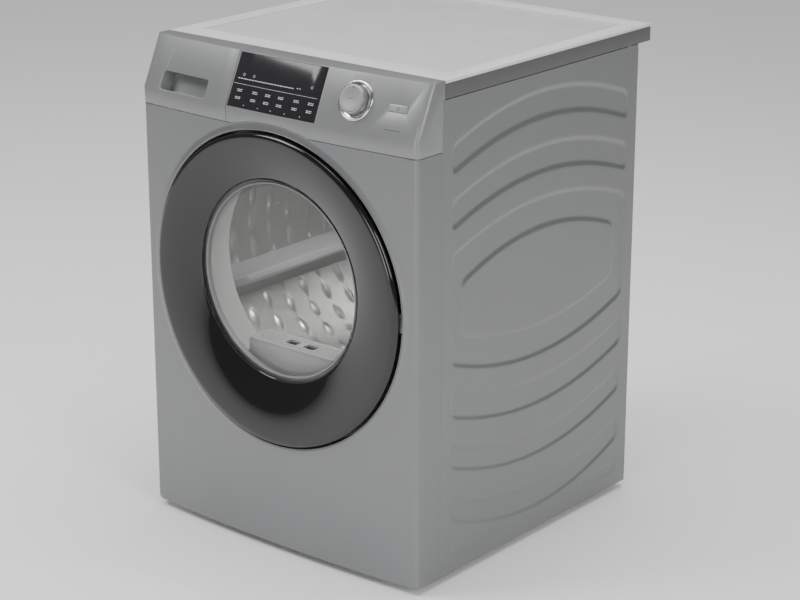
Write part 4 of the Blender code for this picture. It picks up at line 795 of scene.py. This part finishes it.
# ================================================================ door
def ring_front(t, x):
    """Front of the door ring: a rolled shoulder to its crest, then a slope that steepens to the window."""
    edge = CORNER_Y - RIM_RISE - 0.0023
    crest = RING_LOW.y + BOW * (1 - RING_CREST)
    if t < RING_CREST:
        place = edge + (crest - edge) * math.sqrt(max(0.0, 1 - (1 - t / RING_CREST) ** 2))
    else:
        place = crest + (WINDOW_Y - crest) * ((t - RING_CREST) / (1 - RING_CREST)) ** 1.8
    return place - bow(x) * (1 - t)


def ring_circle(turns, t, back=0.0, inset=0.0):
    radius = DOOR_RADIUS - (DOOR_RADIUS - WINDOW_RADIUS) * t - inset
    x = radius * np.cos(turns)
    z = DOOR_Z + (AXIS_Z - DOOR_Z) * t + radius * np.sin(turns)
    return np.stack([x, ring_front(t, x) + back, z], axis=-1)


def door_ring_mesh(steps):
    """Circles from the outer edge over the crest to a small bead at the window, and back behind."""
    turns = turn_angles(steps)
    shoulder = RING_CREST * (1 - np.cos(np.linspace(0, math.pi / 2, 14)))
    slope = RING_CREST + (1 - RING_CREST) * np.linspace(0, 1, 30)[1:]
    rings = [ring_circle(turns, t) for t in np.concatenate([shoulder, slope[:-1]])]
    bead = [(0.0012, 0.0), (0.0008, -0.0007), (0.0, -0.0009), (-0.0006, -0.0004), (-0.0006, 0.0014)]
    rings += [ring_circle(turns, 1.0, y, -r) for r, y in bead]
    rings += [ring_circle(turns, t, 0.003) for t in (1.0, 0.92, 0.84, 0.7, 0.56, 0.42, 0.3, 0.2, 0.14)]
    lip = CORNER_Y - RIM_RISE - 0.0003
    for radius in (DOOR_RADIUS - 0.004, DOOR_RADIUS - 0.0004, DOOR_RADIUS):
        x = radius * np.cos(turns)
        back = 0.0003 if radius == DOOR_RADIUS else 0.0
        rings.append(np.stack([x, lip - back - bow(x), DOOR_Z + radius * np.sin(turns)], axis=-1))
    return lofted("door_ring_surface", rings, True, 30.0)


def window_mesh(steps):
    """A shallow dome: its height falls with the square of the distance from its middle."""
    rim = WINDOW_RADIUS - 0.0008
    s = np.linspace(0, 1, 24)
    dome = np.column_stack([rim * s, WINDOW_Y - 0.0055 * (1 - s**2)])
    behind = dome[::-1] + np.array([0.0, 0.003])
    return revolved("door_window_surface", np.concatenate([dome, behind]), AXIS_Z, steps)


def bowl_mesh(steps):
    """The glass bowl: a round wall that turns through a wide curve into a flat bottom."""
    outer = BOWL_HIGH.x
    front, back = BOWL_LOW.y, BOWL_HIGH.y
    flat = outer - 0.020
    turn = np.linspace(0, math.pi / 2, 14)
    outside = [(0.0, back)] + [(flat * s, back) for s in (0.35, 0.7, 1.0)]
    outside += [(flat + 0.020 * math.sin(a), back - 0.016 + 0.016 * math.cos(a)) for a in turn[1:]]
    outside += [(outer, front)]
    inside = [(outer - 0.003, front)]
    inside += [(flat + 0.017 * math.cos(a), back - 0.016 + 0.013 * math.sin(a)) for a in turn]
    inside += [(flat * s, back - 0.003) for s in (0.7, 0.35)] + [(0.0, back - 0.003)]
    return revolved("door_bowl_surface", outside + inside, AXIS_Z, steps, 40.0)


# ================================================================ drum and what shows inside it
def drum_mesh(steps, height, count):
    """A cup whose wall is pressed with rows of oval dimples, every other row shifted by half a dimple; its
    rear disc has two pressed rings and a field of small bosses."""
    radius, inner = DRUM_HIGH.x, DRUM_HIGH.x - 0.001
    front, rear = DRUM_LOW.y, DRUM_HIGH.y
    turns = turn_angles(steps)
    y = np.linspace(front + 0.004, rear - 0.008, 150)
    phase = (y - front - 0.030) / 0.0480
    row = np.round(phase)
    v = (phase - row) * 0.0480 / 0.0075
    around = turns[None, :] * count / (2 * math.pi) + 0.5 * (row % 2)[:, None]
    u = (around - np.round(around)) * (2 * math.pi * inner / count) / 0.0145
    inside = np.clip(1 - u**2 - (v**2)[:, None], 0, 1)
    ends = ((row >= 0) & (row <= 7))[:, None]
    bump = height * np.where(ends, inside ** 0.7, 0.0)

    def circle_at(r, place, out=0.0):
        r = r - out
        return np.stack([r * np.cos(turns), np.full(len(turns), place), AXIS_Z + r * np.sin(turns)], axis=-1)

    outside = [circle_at(radius * s, rear) for s in (0.02, 0.3, 0.6, 0.8, 0.93)]
    fold = np.linspace(0, math.pi / 2, 6)
    outside += [circle_at(radius - 0.006 + 0.006 * math.sin(a), rear - 0.006 + 0.006 * math.cos(a))
                for a in fold]
    outside += [circle_at(radius, front + 0.002), circle_at(radius - 0.0002, front)]
    outside += [circle_at(inner + 0.0002, front)]
    wall = [circle_at(inner, place, bump[k]) for k, place in enumerate(y)]
    inside_fold = [circle_at(inner - 0.006 + 0.006 * math.cos(a), rear - 0.0075 + 0.0065 * math.sin(a))
                   for a in fold]
    disc = []
    for s in np.linspace(0.955, 0.02, 60):
        r = inner * s
        ring = 0.0035 * math.exp(-((s - 0.84) / 0.028) ** 2) + 0.0030 * math.exp(-((s - 0.30) / 0.022) ** 2)
        spokes = np.cos(turns * 24) * np.sin(s * 42.0)
        boss = 0.0016 * np.clip(spokes - 0.25, 0, 1) * (0.38 < s < 0.76)
        circle = circle_at(r, rear - 0.001)
        circle[:, 1] -= ring + boss
        disc.append(circle)
    rings = np.array(outside + wall + inside_fold + disc)
    return lofted("drum_surface", rings, False, 40.0)


SQUARE = np.array([(1, 0), (1, 1), (0, 1), (-1, 1), (-1, 0), (-1, -1), (0, -1), (1, -1)], float)
SIDE_CORNERS = {"right": (7, 0), "back": (1, 2), "left": (3, 4), "front": (5, 6)}


def perforated_plate(low, high, pitch, radius, keep):
    """Square tiles with an eight-sided hole, solid where keep is false, and walls round the outside."""
    nx, ny = (int(round((high[k] - low[k]) / pitch)) for k in (0, 1))
    px, py = (high[0] - low[0]) / nx, (high[1] - low[1]) / ny
    i, j = (a.ravel() for a in np.meshgrid(np.arange(nx), np.arange(ny), indexing="ij"))
    centre = np.column_stack([low[0] + px * (i + 0.5), low[1] + py * (j + 0.5)])
    turn = math.pi / 4 * np.arange(8)
    square = SQUARE * [px / 2, py / 2]
    hole = np.where(keep(centre), radius, 0.0)[:, None, None] * np.column_stack([np.cos(turn), np.sin(turn)])
    flat = np.concatenate([centre[:, None] + square, centre[:, None] + hole], axis=1)
    levels = [np.concatenate([flat, np.full((len(flat), 16, 1), h)], axis=2) for h in (high[2], low[2])]
    points = np.concatenate(levels, axis=1).reshape(-1, 3)
    k = np.arange(8)
    k2 = (k + 1) % 8
    face = np.stack([k, k2, k2 + 8, k + 8], axis=-1)
    through = np.stack([k + 8, k2 + 8, k2 + 24, k + 24], axis=-1)
    tile = np.concatenate([face, face[:, ::-1] + 16, through])
    base = 32 * np.arange(len(centre))
    quads = [(base[:, None, None] + tile).reshape(-1, 4)]
    borders = {"right": i == nx - 1, "back": j == ny - 1, "left": i == 0, "front": j == 0}
    for side, here in borders.items():
        for a in SIDE_CORNERS[side]:
            wall = np.array([(a + 1) % 8, a, a + 16, (a + 1) % 8 + 16])
            quads.append(base[here][:, None] + wall)
    merged, index = np.unique(np.round(points, 7), axis=0, return_inverse=True)
    faces = index.reshape(-1)[np.concatenate(quads)]
    a, b, c, d = faces.T
    three = (a == b) | (b == c) | (c == d) | (d == a)
    gone = ((a == b) & (c == d)) | ((b == c) & (d == a))
    corners = faces[three & ~gone]
    first = np.array([list(dict.fromkeys(face))[:3] for face in corners.tolist()]).reshape(-1, 3)
    return merged, faces[~three], first


def lint_cover_mesh(pitch):
    """The lint filter's cover: holes all over but for its border and the places of its two finger holes."""
    low, high = COVER_LOW, COVER_HIGH
    middle = (low.y + high.y) / 2

    def keep(centre):
        x, y = centre.T
        inside = (np.abs(x) < high.x - 0.006) & (y > low.y + 0.005) & (y < high.y - 0.005)
        finger = (np.abs(np.abs(x) - 0.020) < 0.0175) & (np.abs(y - middle) < 0.0135)
        return inside & ~finger

    return mesh_of("lint_cover_surface", *perforated_plate(low, high, pitch, pitch * 0.27, keep), sharp=35.0)


# ================================================================ controls
def dial_points(points):
    """Carries flat points (across, up, out) onto the plane square to the dial's axis."""
    across = np.array([1.0, 2 * BOW * DIAL.x / HALF**2, 0.0])
    across /= np.linalg.norm(across)
    out = np.cross(across, np.array(UP))
    out /= np.linalg.norm(out)
    upward = np.cross(out, across)
    x, y, z = points.T
    return np.array(DIAL) + x[:, None] * across + y[:, None] * upward + z[:, None] * out


def turned_on_dial(name, profile, steps, sharp=32.0):
    """A profile of (radius, out) turned round the dial's axis."""
    profile = np.asarray(profile, float)
    on_line = profile[0, 0] == 0.0
    body = profile[1:-1] if on_line else profile
    turn = 2 * math.pi * np.arange(steps) / steps
    flat = np.stack([body[:, :1] * np.cos(turn), body[:, :1] * np.sin(turn),
                     np.repeat(body[:, 1:], steps, axis=1)], axis=-1)
    rings = dial_points(flat.reshape(-1, 3)).reshape(flat.shape)
    quads = quads_between(len(body), steps, not on_line, True)
    if not on_line:
        return mesh_of(name, rings.reshape(-1, 3), quads, sharp=sharp)
    points, quads, tris = fans(rings.reshape(-1, 3), quads, rings)
    points[-2:] = dial_points(np.array([(0.0, 0.0, profile[0, 1]), (0.0, 0.0, profile[-1, 1])]))
    return mesh_of(name, points, quads, tris, sharp)


def knob_mesh():
    """A shallow dished cap whose edge rolls into a straight wall."""
    roll = np.linspace(0, math.pi / 2, 7)
    cap = [(0.0, 0.0142), (0.006, 0.0143), (0.013, 0.0146), (0.019, 0.0150)]
    cap += [(0.0209 + 0.0026 * math.sin(a), 0.0124 + 0.0026 * math.cos(a)) for a in roll]
    wall = [(0.0235, 0.0030), (0.0232, 0.0012), (0.0225, 0.0009), (0.0, 0.0009)]
    return turned_on_dial("dial_knob_surface", cap + wall, 120, 40.0)


def bezel_mesh():
    """A flat-bottomed ring with a rolled crest, its inner edge falling to the knob."""
    roll = np.linspace(0, math.pi, 11)
    crest = [(0.0302 + 0.0026 * math.cos(a), 0.0012 + 0.0022 * math.sin(a)) for a in roll]
    inner = [(0.0262, 0.0009), (0.0250, 0.0007), (0.0247, 0.0003)]
    outer = [(0.0330, 0.0003), (0.0330, 0.0009)]
    return turned_on_dial("dial_bezel_surface", outer + crest + inner, 120, 40.0)


def plate(across, up, width, height, low, high, place=on_slant, round_off=0.45):
    """A small raised plate with rounded ends: its half-sizes and the height of its top and bottom."""
    turn = math.pi / 8 * (np.arange(16) + 0.5)
    radius = round_off * min(width, height)
    corner_x = np.sign(np.cos(turn)) * (width / 2 - radius) + radius * np.cos(turn)
    corner_y = np.sign(np.sin(turn)) * (height / 2 - radius) + radius * np.sin(turn)
    return plate_from_outline(np.column_stack([across + corner_x, up + corner_y]), low, high, place)


def display_marks():
    """Generic dashes and dots where a panel of this kind has its legends: no letters or figures."""
    spots = []
    for x in (-72.0, -50.0, 74.0):
        for k in range(6):
            a = math.pi / 3 * k
            spots.append((x + 2.0 * math.cos(a), 55.8 + 2.0 * math.sin(a), 1.1, 1.1))
    spots += [(x, 49.0, 4.6, 1.3) for x in np.arange(-81.0, 36.0, 6.1)]
    spots += [(45.5, 50.2, 3.0, 1.2), (50.5, 50.2, 3.0, 1.2)]
    spots += [(x, 40.0, 14.6, 0.45) for x in np.arange(-82.5, 90.0, 15.0)]
    for column, x in enumerate((-73.0, -39.0, -11.0, 17.0, 50.0, 80.0)):
        for up in (30.9, 28.3, 18.3, 15.8):
            widths = ((3.2, 2.1, 3.9), (2.4, 4.4, 1.8), (4.1, 2.9, 2.2))[(column + int(up)) % 3]
            starts = np.cumsum((0.0, widths[0] + 0.9, widths[1] + 0.9)) - 5.4
            spots += [(x + s + w / 2, up, w, 1.15) for s, w in zip(starts, widths)]
    spots += [(x, 6.5, 1.6, 1.6) for x in (-56.0, -25.0, 3.0, 33.0, 65.0)]
    return [plate(x / 1000, up / 1000, w / 1000, h / 1000, -0.0002, 0.0002) for x, up, w, h in spots]


def key_marks():
    """A row of dashes under the power key."""
    places = (0.234, 0.240, 0.246, 0.252, 0.258)
    return [plate(x, 0.0123, 0.0042, 0.0012, -0.0001, 0.00015) for x in places]


def key_symbol():
    """On the key: an open ring of short dashes and an upright bar."""
    spots = []
    for degrees in range(-220, 41, 26):
        a = math.radians(degrees)
        x, up = 0.2465 + 0.0026 * math.cos(a), 0.047 + 0.0026 * math.sin(a)
        spots.append(plate(x, up, 0.0009, 0.0009, 0.0004, 0.0008))
    return spots + [plate(0.2465, 0.0486, 0.0007, 0.0030, 0.0004, 0.0008)]


def knob_marks():
    """A row of four dots across the knob's middle, and a short pointer line near its edge."""
    parts = [plate(0.0028 * (k - 1.5), 0.0, 0.0013, 0.0013, 0.0138, 0.0146, dial_points) for k in range(4)]
    return parts + [plate(0.0, 0.0185, 0.0011, 0.0042, 0.0145, 0.0153, dial_points)]


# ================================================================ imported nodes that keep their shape
KEPT_FINISH = {
    "base_pan": "zinc", "blower_wheel": "dark", "compressor": "cast", "condensate_pump": "dark",
    "condenser": "coil", "control_board": "solder", "control_fascia": "fascia", "cord_gland": "dark",
    "display_glass": "display", "door_hinge_arm": "zinc", "door_inner_frame": "grey", "door_seal": "rubber",
    "drive_belt": "belt", "drive_motor": "cast", "drum_lamp": "light", "drum_shaft": "zinc",
    "evaporator": "coil", "foot_front_left": "rubber", "foot_front_right": "rubber",
    "foot_rear_left": "rubber", "foot_rear_right": "rubber", "front_bulkhead": "light",
    "hinge_bracket": "zinc", "hinge_pin": "bright",
    "idler_bracket": "zinc", "idler_pulley": "dark", "latch_catch": "dark", "latch_hook": "dark",
    "lifter_1": "grey", "lifter_2": "grey", "lifter_3": "grey", "lint_filter_screen": "grey",
    "moisture_sensor": "bright", "motor_pulley": "bright", "power_button": "knob", "rear_bearing": "bright",
    "rear_bulkhead": "zinc", "refrigerant_pipe": "copper", "roller_axle_left": "bright",
    "roller_axle_right": "bright", "roller_left": "rubber", "roller_right": "rubber", "tank_front": "fascia",
    "tank_lid": "grey", "tank_sleeve": "grey", "water_tank": "light", "worktop_board": "board",
    "worktop_frame": "rim",
}
EDGE_WIDTH = {
    "control_fascia": 0.0009, "tank_front": 0.0009, "worktop_frame": 0.0022, "worktop_board": 0.0006,
    "lifter_1": 0.0030, "lifter_2": 0.0030, "lifter_3": 0.0030, "compressor": 0.0030, "drive_motor": 0.0020,
    "power_button": 0.0004, "door_inner_frame": 0.0006, "display_glass": 0.0002, "hinge_pin": 0.0002,
}


def finish_node(node, finish, width):
    """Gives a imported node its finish, and rounds its edges with modifiers; its points stay where they are."""
    piece = frame["nodes"][node]
    piece.data.materials.clear()
    piece.data.materials.append(finish)
    piece.data.shade_smooth()
    weld = piece.modifiers.new("weld", "WELD")
    weld.merge_threshold = 0.00001
    bevel = piece.modifiers.new("edges", "BEVEL")
    bevel.width = width
    bevel.segments = 3 if width > 0.0008 else 2
    bevel.limit_method = "ANGLE"
    bevel.angle_limit = math.radians(32)
    bevel.harden_normals = True
    bevel.use_clamp_overlap = True


def finish_nodes(*nodes):
    made = finishes()
    for node in nodes:
        finish_node(node, made[KEPT_FINISH[node]], EDGE_WIDTH.get(node, 0.0005))


class DRYER_OT_front_panel(Operator):
    """Front panel with its round flare and recess, the latch slot and the hinge pocket"""
    bl_idname = "dryer.front_panel"
    bl_label = "Front panel"

    def execute(self, context):
        piece = add_piece("front_panel_surface", front_panel_mesh(288), finishes()["casing"],
                          "cabinet", ("front_panel",))
        cut(piece, *box_shape((-0.2445, RECESS_Y - 0.010, DOOR_Z - 0.012),
                              (-0.2225, RECESS_Y + 0.010, DOOR_Z + 0.012)))
        turn = 2 * math.pi * np.arange(24) / 24
        round_hole = np.column_stack([HINGE.x + 0.0036 * np.cos(turn), HINGE.y + 0.0036 * np.sin(turn)])
        cut(piece, *plate_from_outline(round_hole, DOOR_Z - 0.0245, DOOR_Z + 0.0245, lambda p: p))
        cut(piece, *box_shape((BARREL_RADIUS - 0.004, PANEL_LOW.y - 0.01, DOOR_Z - 0.0165),
                              (HINGE.x + 0.0012, HINGE.y, DOOR_Z + 0.0165)))
        return {"FINISHED"}


class DRYER_OT_side_panels(Operator):
    """Both side panels with their pressed bands"""
    bl_idname = "dryer.side_panels"
    bl_label = "Side panels"

    def execute(self, context):
        depth = context.scene.dryer_shape.rib_depth
        for hand, side in (("left", -1), ("right", 1)):
            name = "side_panel_" + hand
            mesh = side_panel_mesh(name + "_surface", side, depth)
            add_piece(name + "_surface", mesh, finishes()["casing"], "cabinet", (name,))
        return {"FINISHED"}


class DRYER_OT_rear(Operator):
    """Rear panel with louvres, the duct's cover and their screws"""
    bl_idname = "dryer.rear"
    bl_label = "Rear panels"

    def execute(self, context):
        made = finishes()
        add_piece("rear_panel_surface", rear_panel_mesh(), made["zinc"], "cabinet",
                  ("rear_panel",))
        add_piece("rear_duct_cover_surface", duct_cover_mesh(), made["zinc"], "cabinet",
                  ("rear_duct_cover",))
        edge_x, low, high = REAR_HIGH.x - 0.009, REAR_LOW.z + 0.012, REAR_HIGH.z - 0.012
        places = [(x, REAR_HIGH.y, z) for x in (-edge_x, edge_x) for z in np.linspace(low, high, 6)]
        places += [(x, REAR_HIGH.y, z) for x in (-0.14, 0.0, 0.14) for z in (low, high)]
        screws = joined("rear_screws", screw_parts(places), 30.0)
        add_piece("rear_screws", screws, made["bright"], "cabinet")
        return {"FINISHED"}


def refine_nodes(body, slot, *nodes):
    """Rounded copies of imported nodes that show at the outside, each standing for its node."""
    made = finishes()
    for node in nodes:
        refined(node, made[KEPT_FINISH[node]], body, EDGE_WIDTH.get(node, 0.0006), 3, 32.0)


class DRYER_OT_worktop(Operator):
    """Worktop: its moulded rim and its board"""
    bl_idname = "dryer.worktop"
    bl_label = "Worktop"

    def execute(self, context):
        refine_nodes("cabinet", "worktop_rim", "worktop_frame")
        refine_nodes("cabinet", "worktop_board", "worktop_board")
        return {"FINISHED"}


class DRYER_OT_fascia(Operator):
    """Control fascia, drawer front and the display with its marks"""
    bl_idname = "dryer.fascia"
    bl_label = "Fascia"

    def execute(self, context):
        refine_nodes("cabinet", "fascia_silver", "control_fascia")
        refine_nodes("water_drawer", "fascia_silver", "tank_front")
        refine_nodes("cabinet", "display_black", "display_glass")
        refine_nodes("power_key", "fascia_silver", "power_button")
        made = finishes()
        marks = joined("display_marks", display_marks())
        legend, symbol = joined("key_legend", key_marks()), joined("key_symbol", key_symbol())
        add_piece("display_marks", marks, made["mark"], "cabinet")
        add_piece("key_legend", legend, made["dark"], "cabinet")
        add_piece("key_symbol", symbol, made["dark"], "power_key")
        return {"FINISHED"}


class DRYER_OT_dial(Operator):
    """Programme dial in its bright bezel"""
    bl_idname = "dryer.dial"
    bl_label = "Dial"

    def execute(self, context):
        made = finishes()
        add_piece("dial_knob_surface", knob_mesh(), made["knob"], "dial", ("dial_knob",))
        add_piece("dial_bezel_surface", bezel_mesh(), made["chrome"], "cabinet", ("dial_bezel",))
        add_piece("dial_marks", joined("dial_marks", knob_marks()), made["dark"], "dial")
        return {"FINISHED"}


class DRYER_OT_door(Operator):
    """Door: glossy ring, window, inner frame, glass bowl, seal, hook and hinge"""
    bl_idname = "dryer.door"
    bl_label = "Door"

    def execute(self, context):
        made = finishes()
        steps = context.scene.dryer_shape.steps_round
        add_piece("door_ring_surface", door_ring_mesh(steps), made["ring"], "door",
                  ("door_trim_ring",))
        add_piece("door_window_surface", window_mesh(steps), made["window"], "door",
                  ("door_window",))
        add_piece("door_bowl_surface", bowl_mesh(steps), made["bowl"], "door", ("door_bowl",))
        refine_nodes("door", "grey_plastic", "door_inner_frame")
        finish_nodes("door_hinge_arm", "door_seal", "latch_hook")
        return {"FINISHED"}


class DRYER_OT_mouth(Operator):
    """Front bulkhead with its tunnel, the lint filter, latch, hinge bracket, lamp and sensor"""
    bl_idname = "dryer.mouth"
    bl_label = "Mouth and lint filter"

    def execute(self, context):
        refine_nodes("cabinet", "light_plastic", "front_bulkhead")
        finish_nodes("lint_filter_screen", "latch_catch", "hinge_bracket", "hinge_pin",
                     "drum_lamp", "moisture_sensor")
        cover = add_piece("lint_cover_surface", lint_cover_mesh(context.scene.dryer_shape.hole_pitch),
                          finishes()["light"], "lint_filter", ("lint_filter_cover",))
        middle = (COVER_LOW.y + COVER_HIGH.y) / 2
        for x in (-0.020, 0.020):
            hole = plate(x, middle, 0.026, 0.018, COVER_LOW.z - 0.002, COVER_HIGH.z + 0.002, lambda p: p, 0.3)
            cut(cover, *hole)
        return {"FINISHED"}


class DRYER_OT_drum(Operator):
    """Drum with dimples and bosses, its lifters and shaft"""
    bl_idname = "dryer.drum"
    bl_label = "Drum"

    def execute(self, context):
        shape = context.scene.dryer_shape
        steps = max(shape.steps_round, 8 * shape.dimple_count)
        mesh = drum_mesh(steps, shape.dimple_height, shape.dimple_count)
        add_piece("drum_surface", mesh, finishes()["steel"], "drum", ("drum_shell",))
        finish_nodes("lifter_1", "lifter_2", "lifter_3", "drum_shaft")
        return {"FINISHED"}


class DRYER_OT_works(Operator):
    """Heat pump, drive, rollers, tank and feet inside the casing"""
    bl_idname = "dryer.works"
    bl_label = "Works and feet"

    def execute(self, context):
        done = {node for node, piece in frame["nodes"].items() if piece.modifiers or piece.hide_render}
        finish_nodes(*sorted(set(KEPT_FINISH) - done))
        return {"FINISHED"}


# ================================================================ stage
def soft_light(name, place, target, size, power, grey):
    """A square area light at a place, turned to a target."""
    data = bpy.data.lights.new(name, "AREA")
    data.shape = "RECTANGLE"
    data.size, data.size_y = size
    data.energy = power
    data.color = (grey, grey, grey)
    light = bpy.data.objects.new(name, data)
    bpy.context.scene.collection.objects.link(light)
    light.location = place
    light.rotation_euler = (Vector(target) - Vector(place)).to_track_quat("-Z", "Y").to_euler()
    return light


def pale_world():
    """Near-white where the camera looks past the stage, dimmer as a light."""
    world = bpy.data.worlds.new("studio")
    world.use_nodes = True
    tree = world.node_tree
    back = tree.nodes["Background"]
    path = tree.nodes.new("ShaderNodeLightPath")
    back.inputs["Color"].default_value = (1.0, 1.0, 1.0, 1.0)
    seen = spread(tree, path.outputs["Is Camera Ray"], 0.50, 1.0)
    mirrored = spread(tree, path.outputs["Is Glossy Ray"], 0.0, -0.34)
    tree.links.new(arithmetic(tree, "ADD", seen, mirrored), back.inputs["Strength"])
    bpy.context.scene.world = world


def floor_mesh():
    """A wide flat floor just under the feet, as a grid of two parameters."""
    side = np.linspace(-6.0, 6.0, 9)
    x, y = np.meshgrid(side, side)
    face = np.stack([x, y, np.full_like(x, -0.0005)], axis=-1)
    return slab_mesh("floor", face, face - [0.0, 0.0, 0.02])


class DRYER_OT_stage(Operator):
    """Pale floor, soft lights and the camera"""
    bl_idname = "dryer.stage"
    bl_label = "Stage"

    def execute(self, context):
        floor = bpy.data.objects.new("floor", floor_mesh())
        context.scene.collection.objects.link(floor)
        white = material_of("floor_white", (0.95, 0.95, 0.95), "moulded_grain", 0.0, 0.8, 0.2, 0.0)
        floor.data.materials.append(white)
        lights = [
            soft_light("key", (-2.0, -2.0, 3.6), (0.0, 0.0, 0.45), (1.8, 1.8), 95.0, 1.0),
            soft_light("right", (3.0, -1.2, 1.7), (0.0, 0.0, 0.5), (1.2, 1.6), 38.0, 1.0),
            soft_light("top", (0.2, 0.3, 3.0), (0.0, 0.0, 0.8), (2.0, 2.0), 55.0, 1.0),
            soft_light("front", (0.9, -3.6, 0.9), (0.0, 0.0, 0.45), (1.0, 1.4), 22.0, 1.0),
            soft_light("drum_light", (0.02, -0.05, AXIS_Z + 0.20), (0.0, 0.10, AXIS_Z - 0.2), (0.10, 0.05),
                       1.6, 1.0),
        ]
        pale_world()
        azimuth, height = math.radians(39.635), math.radians(18.633)
        data = bpy.data.cameras.new("camera")
        data.sensor_width, data.lens = 36.0, 101.0
        camera = bpy.data.objects.new("camera", data)
        context.scene.collection.objects.link(camera)
        camera.location = (2.3798, -2.8603, 1.6214)
        level = Vector((-math.sin(azimuth), math.cos(azimuth), 0.0)) * math.cos(height)
        ahead = level - Vector((0.0, 0.0, math.sin(height)))
        camera.rotation_euler = ahead.to_track_quat("-Z", "Y").to_euler()
        context.scene.camera = camera
        return {"FINISHED"}


class DRYER_PT_panel(Panel):
    """The dryer's operators in order"""
    bl_idname = "DRYER_PT_panel"
    bl_label = "Clothes dryer"
    bl_space_type = "VIEW_3D"
    bl_region_type = "UI"
    bl_category = "Dryer"

    def draw(self, context):
        layout = self.layout
        for group in (context.scene.dryer_shape, context.scene.dryer_colours):
            for name in group.__annotations__:
                layout.prop(group, name)
        for step in STEPS:
            layout.operator(step.bl_idname)


STEPS = (DRYER_OT_front_panel, DRYER_OT_side_panels, DRYER_OT_rear, DRYER_OT_worktop, DRYER_OT_fascia,
         DRYER_OT_dial, DRYER_OT_door, DRYER_OT_mouth, DRYER_OT_drum, DRYER_OT_works, DRYER_OT_stage)
CLASSES = (DryerShape, DryerColours, *STEPS, DRYER_PT_panel)


def register():
    for made in CLASSES:
        bpy.utils.register_class(made)
    bpy.types.Scene.dryer_shape = PointerProperty(type=DryerShape)
    bpy.types.Scene.dryer_colours = PointerProperty(type=DryerColours)


def unregister():
    del bpy.types.Scene.dryer_colours
    del bpy.types.Scene.dryer_shape
    for made in reversed(CLASSES):
        bpy.utils.unregister_class(made)


def main():
    register()
    for step in STEPS:
        group, name = step.bl_idname.split(".")
        getattr(getattr(bpy.ops, group), name)()


if __name__ == "__main__":
    main()
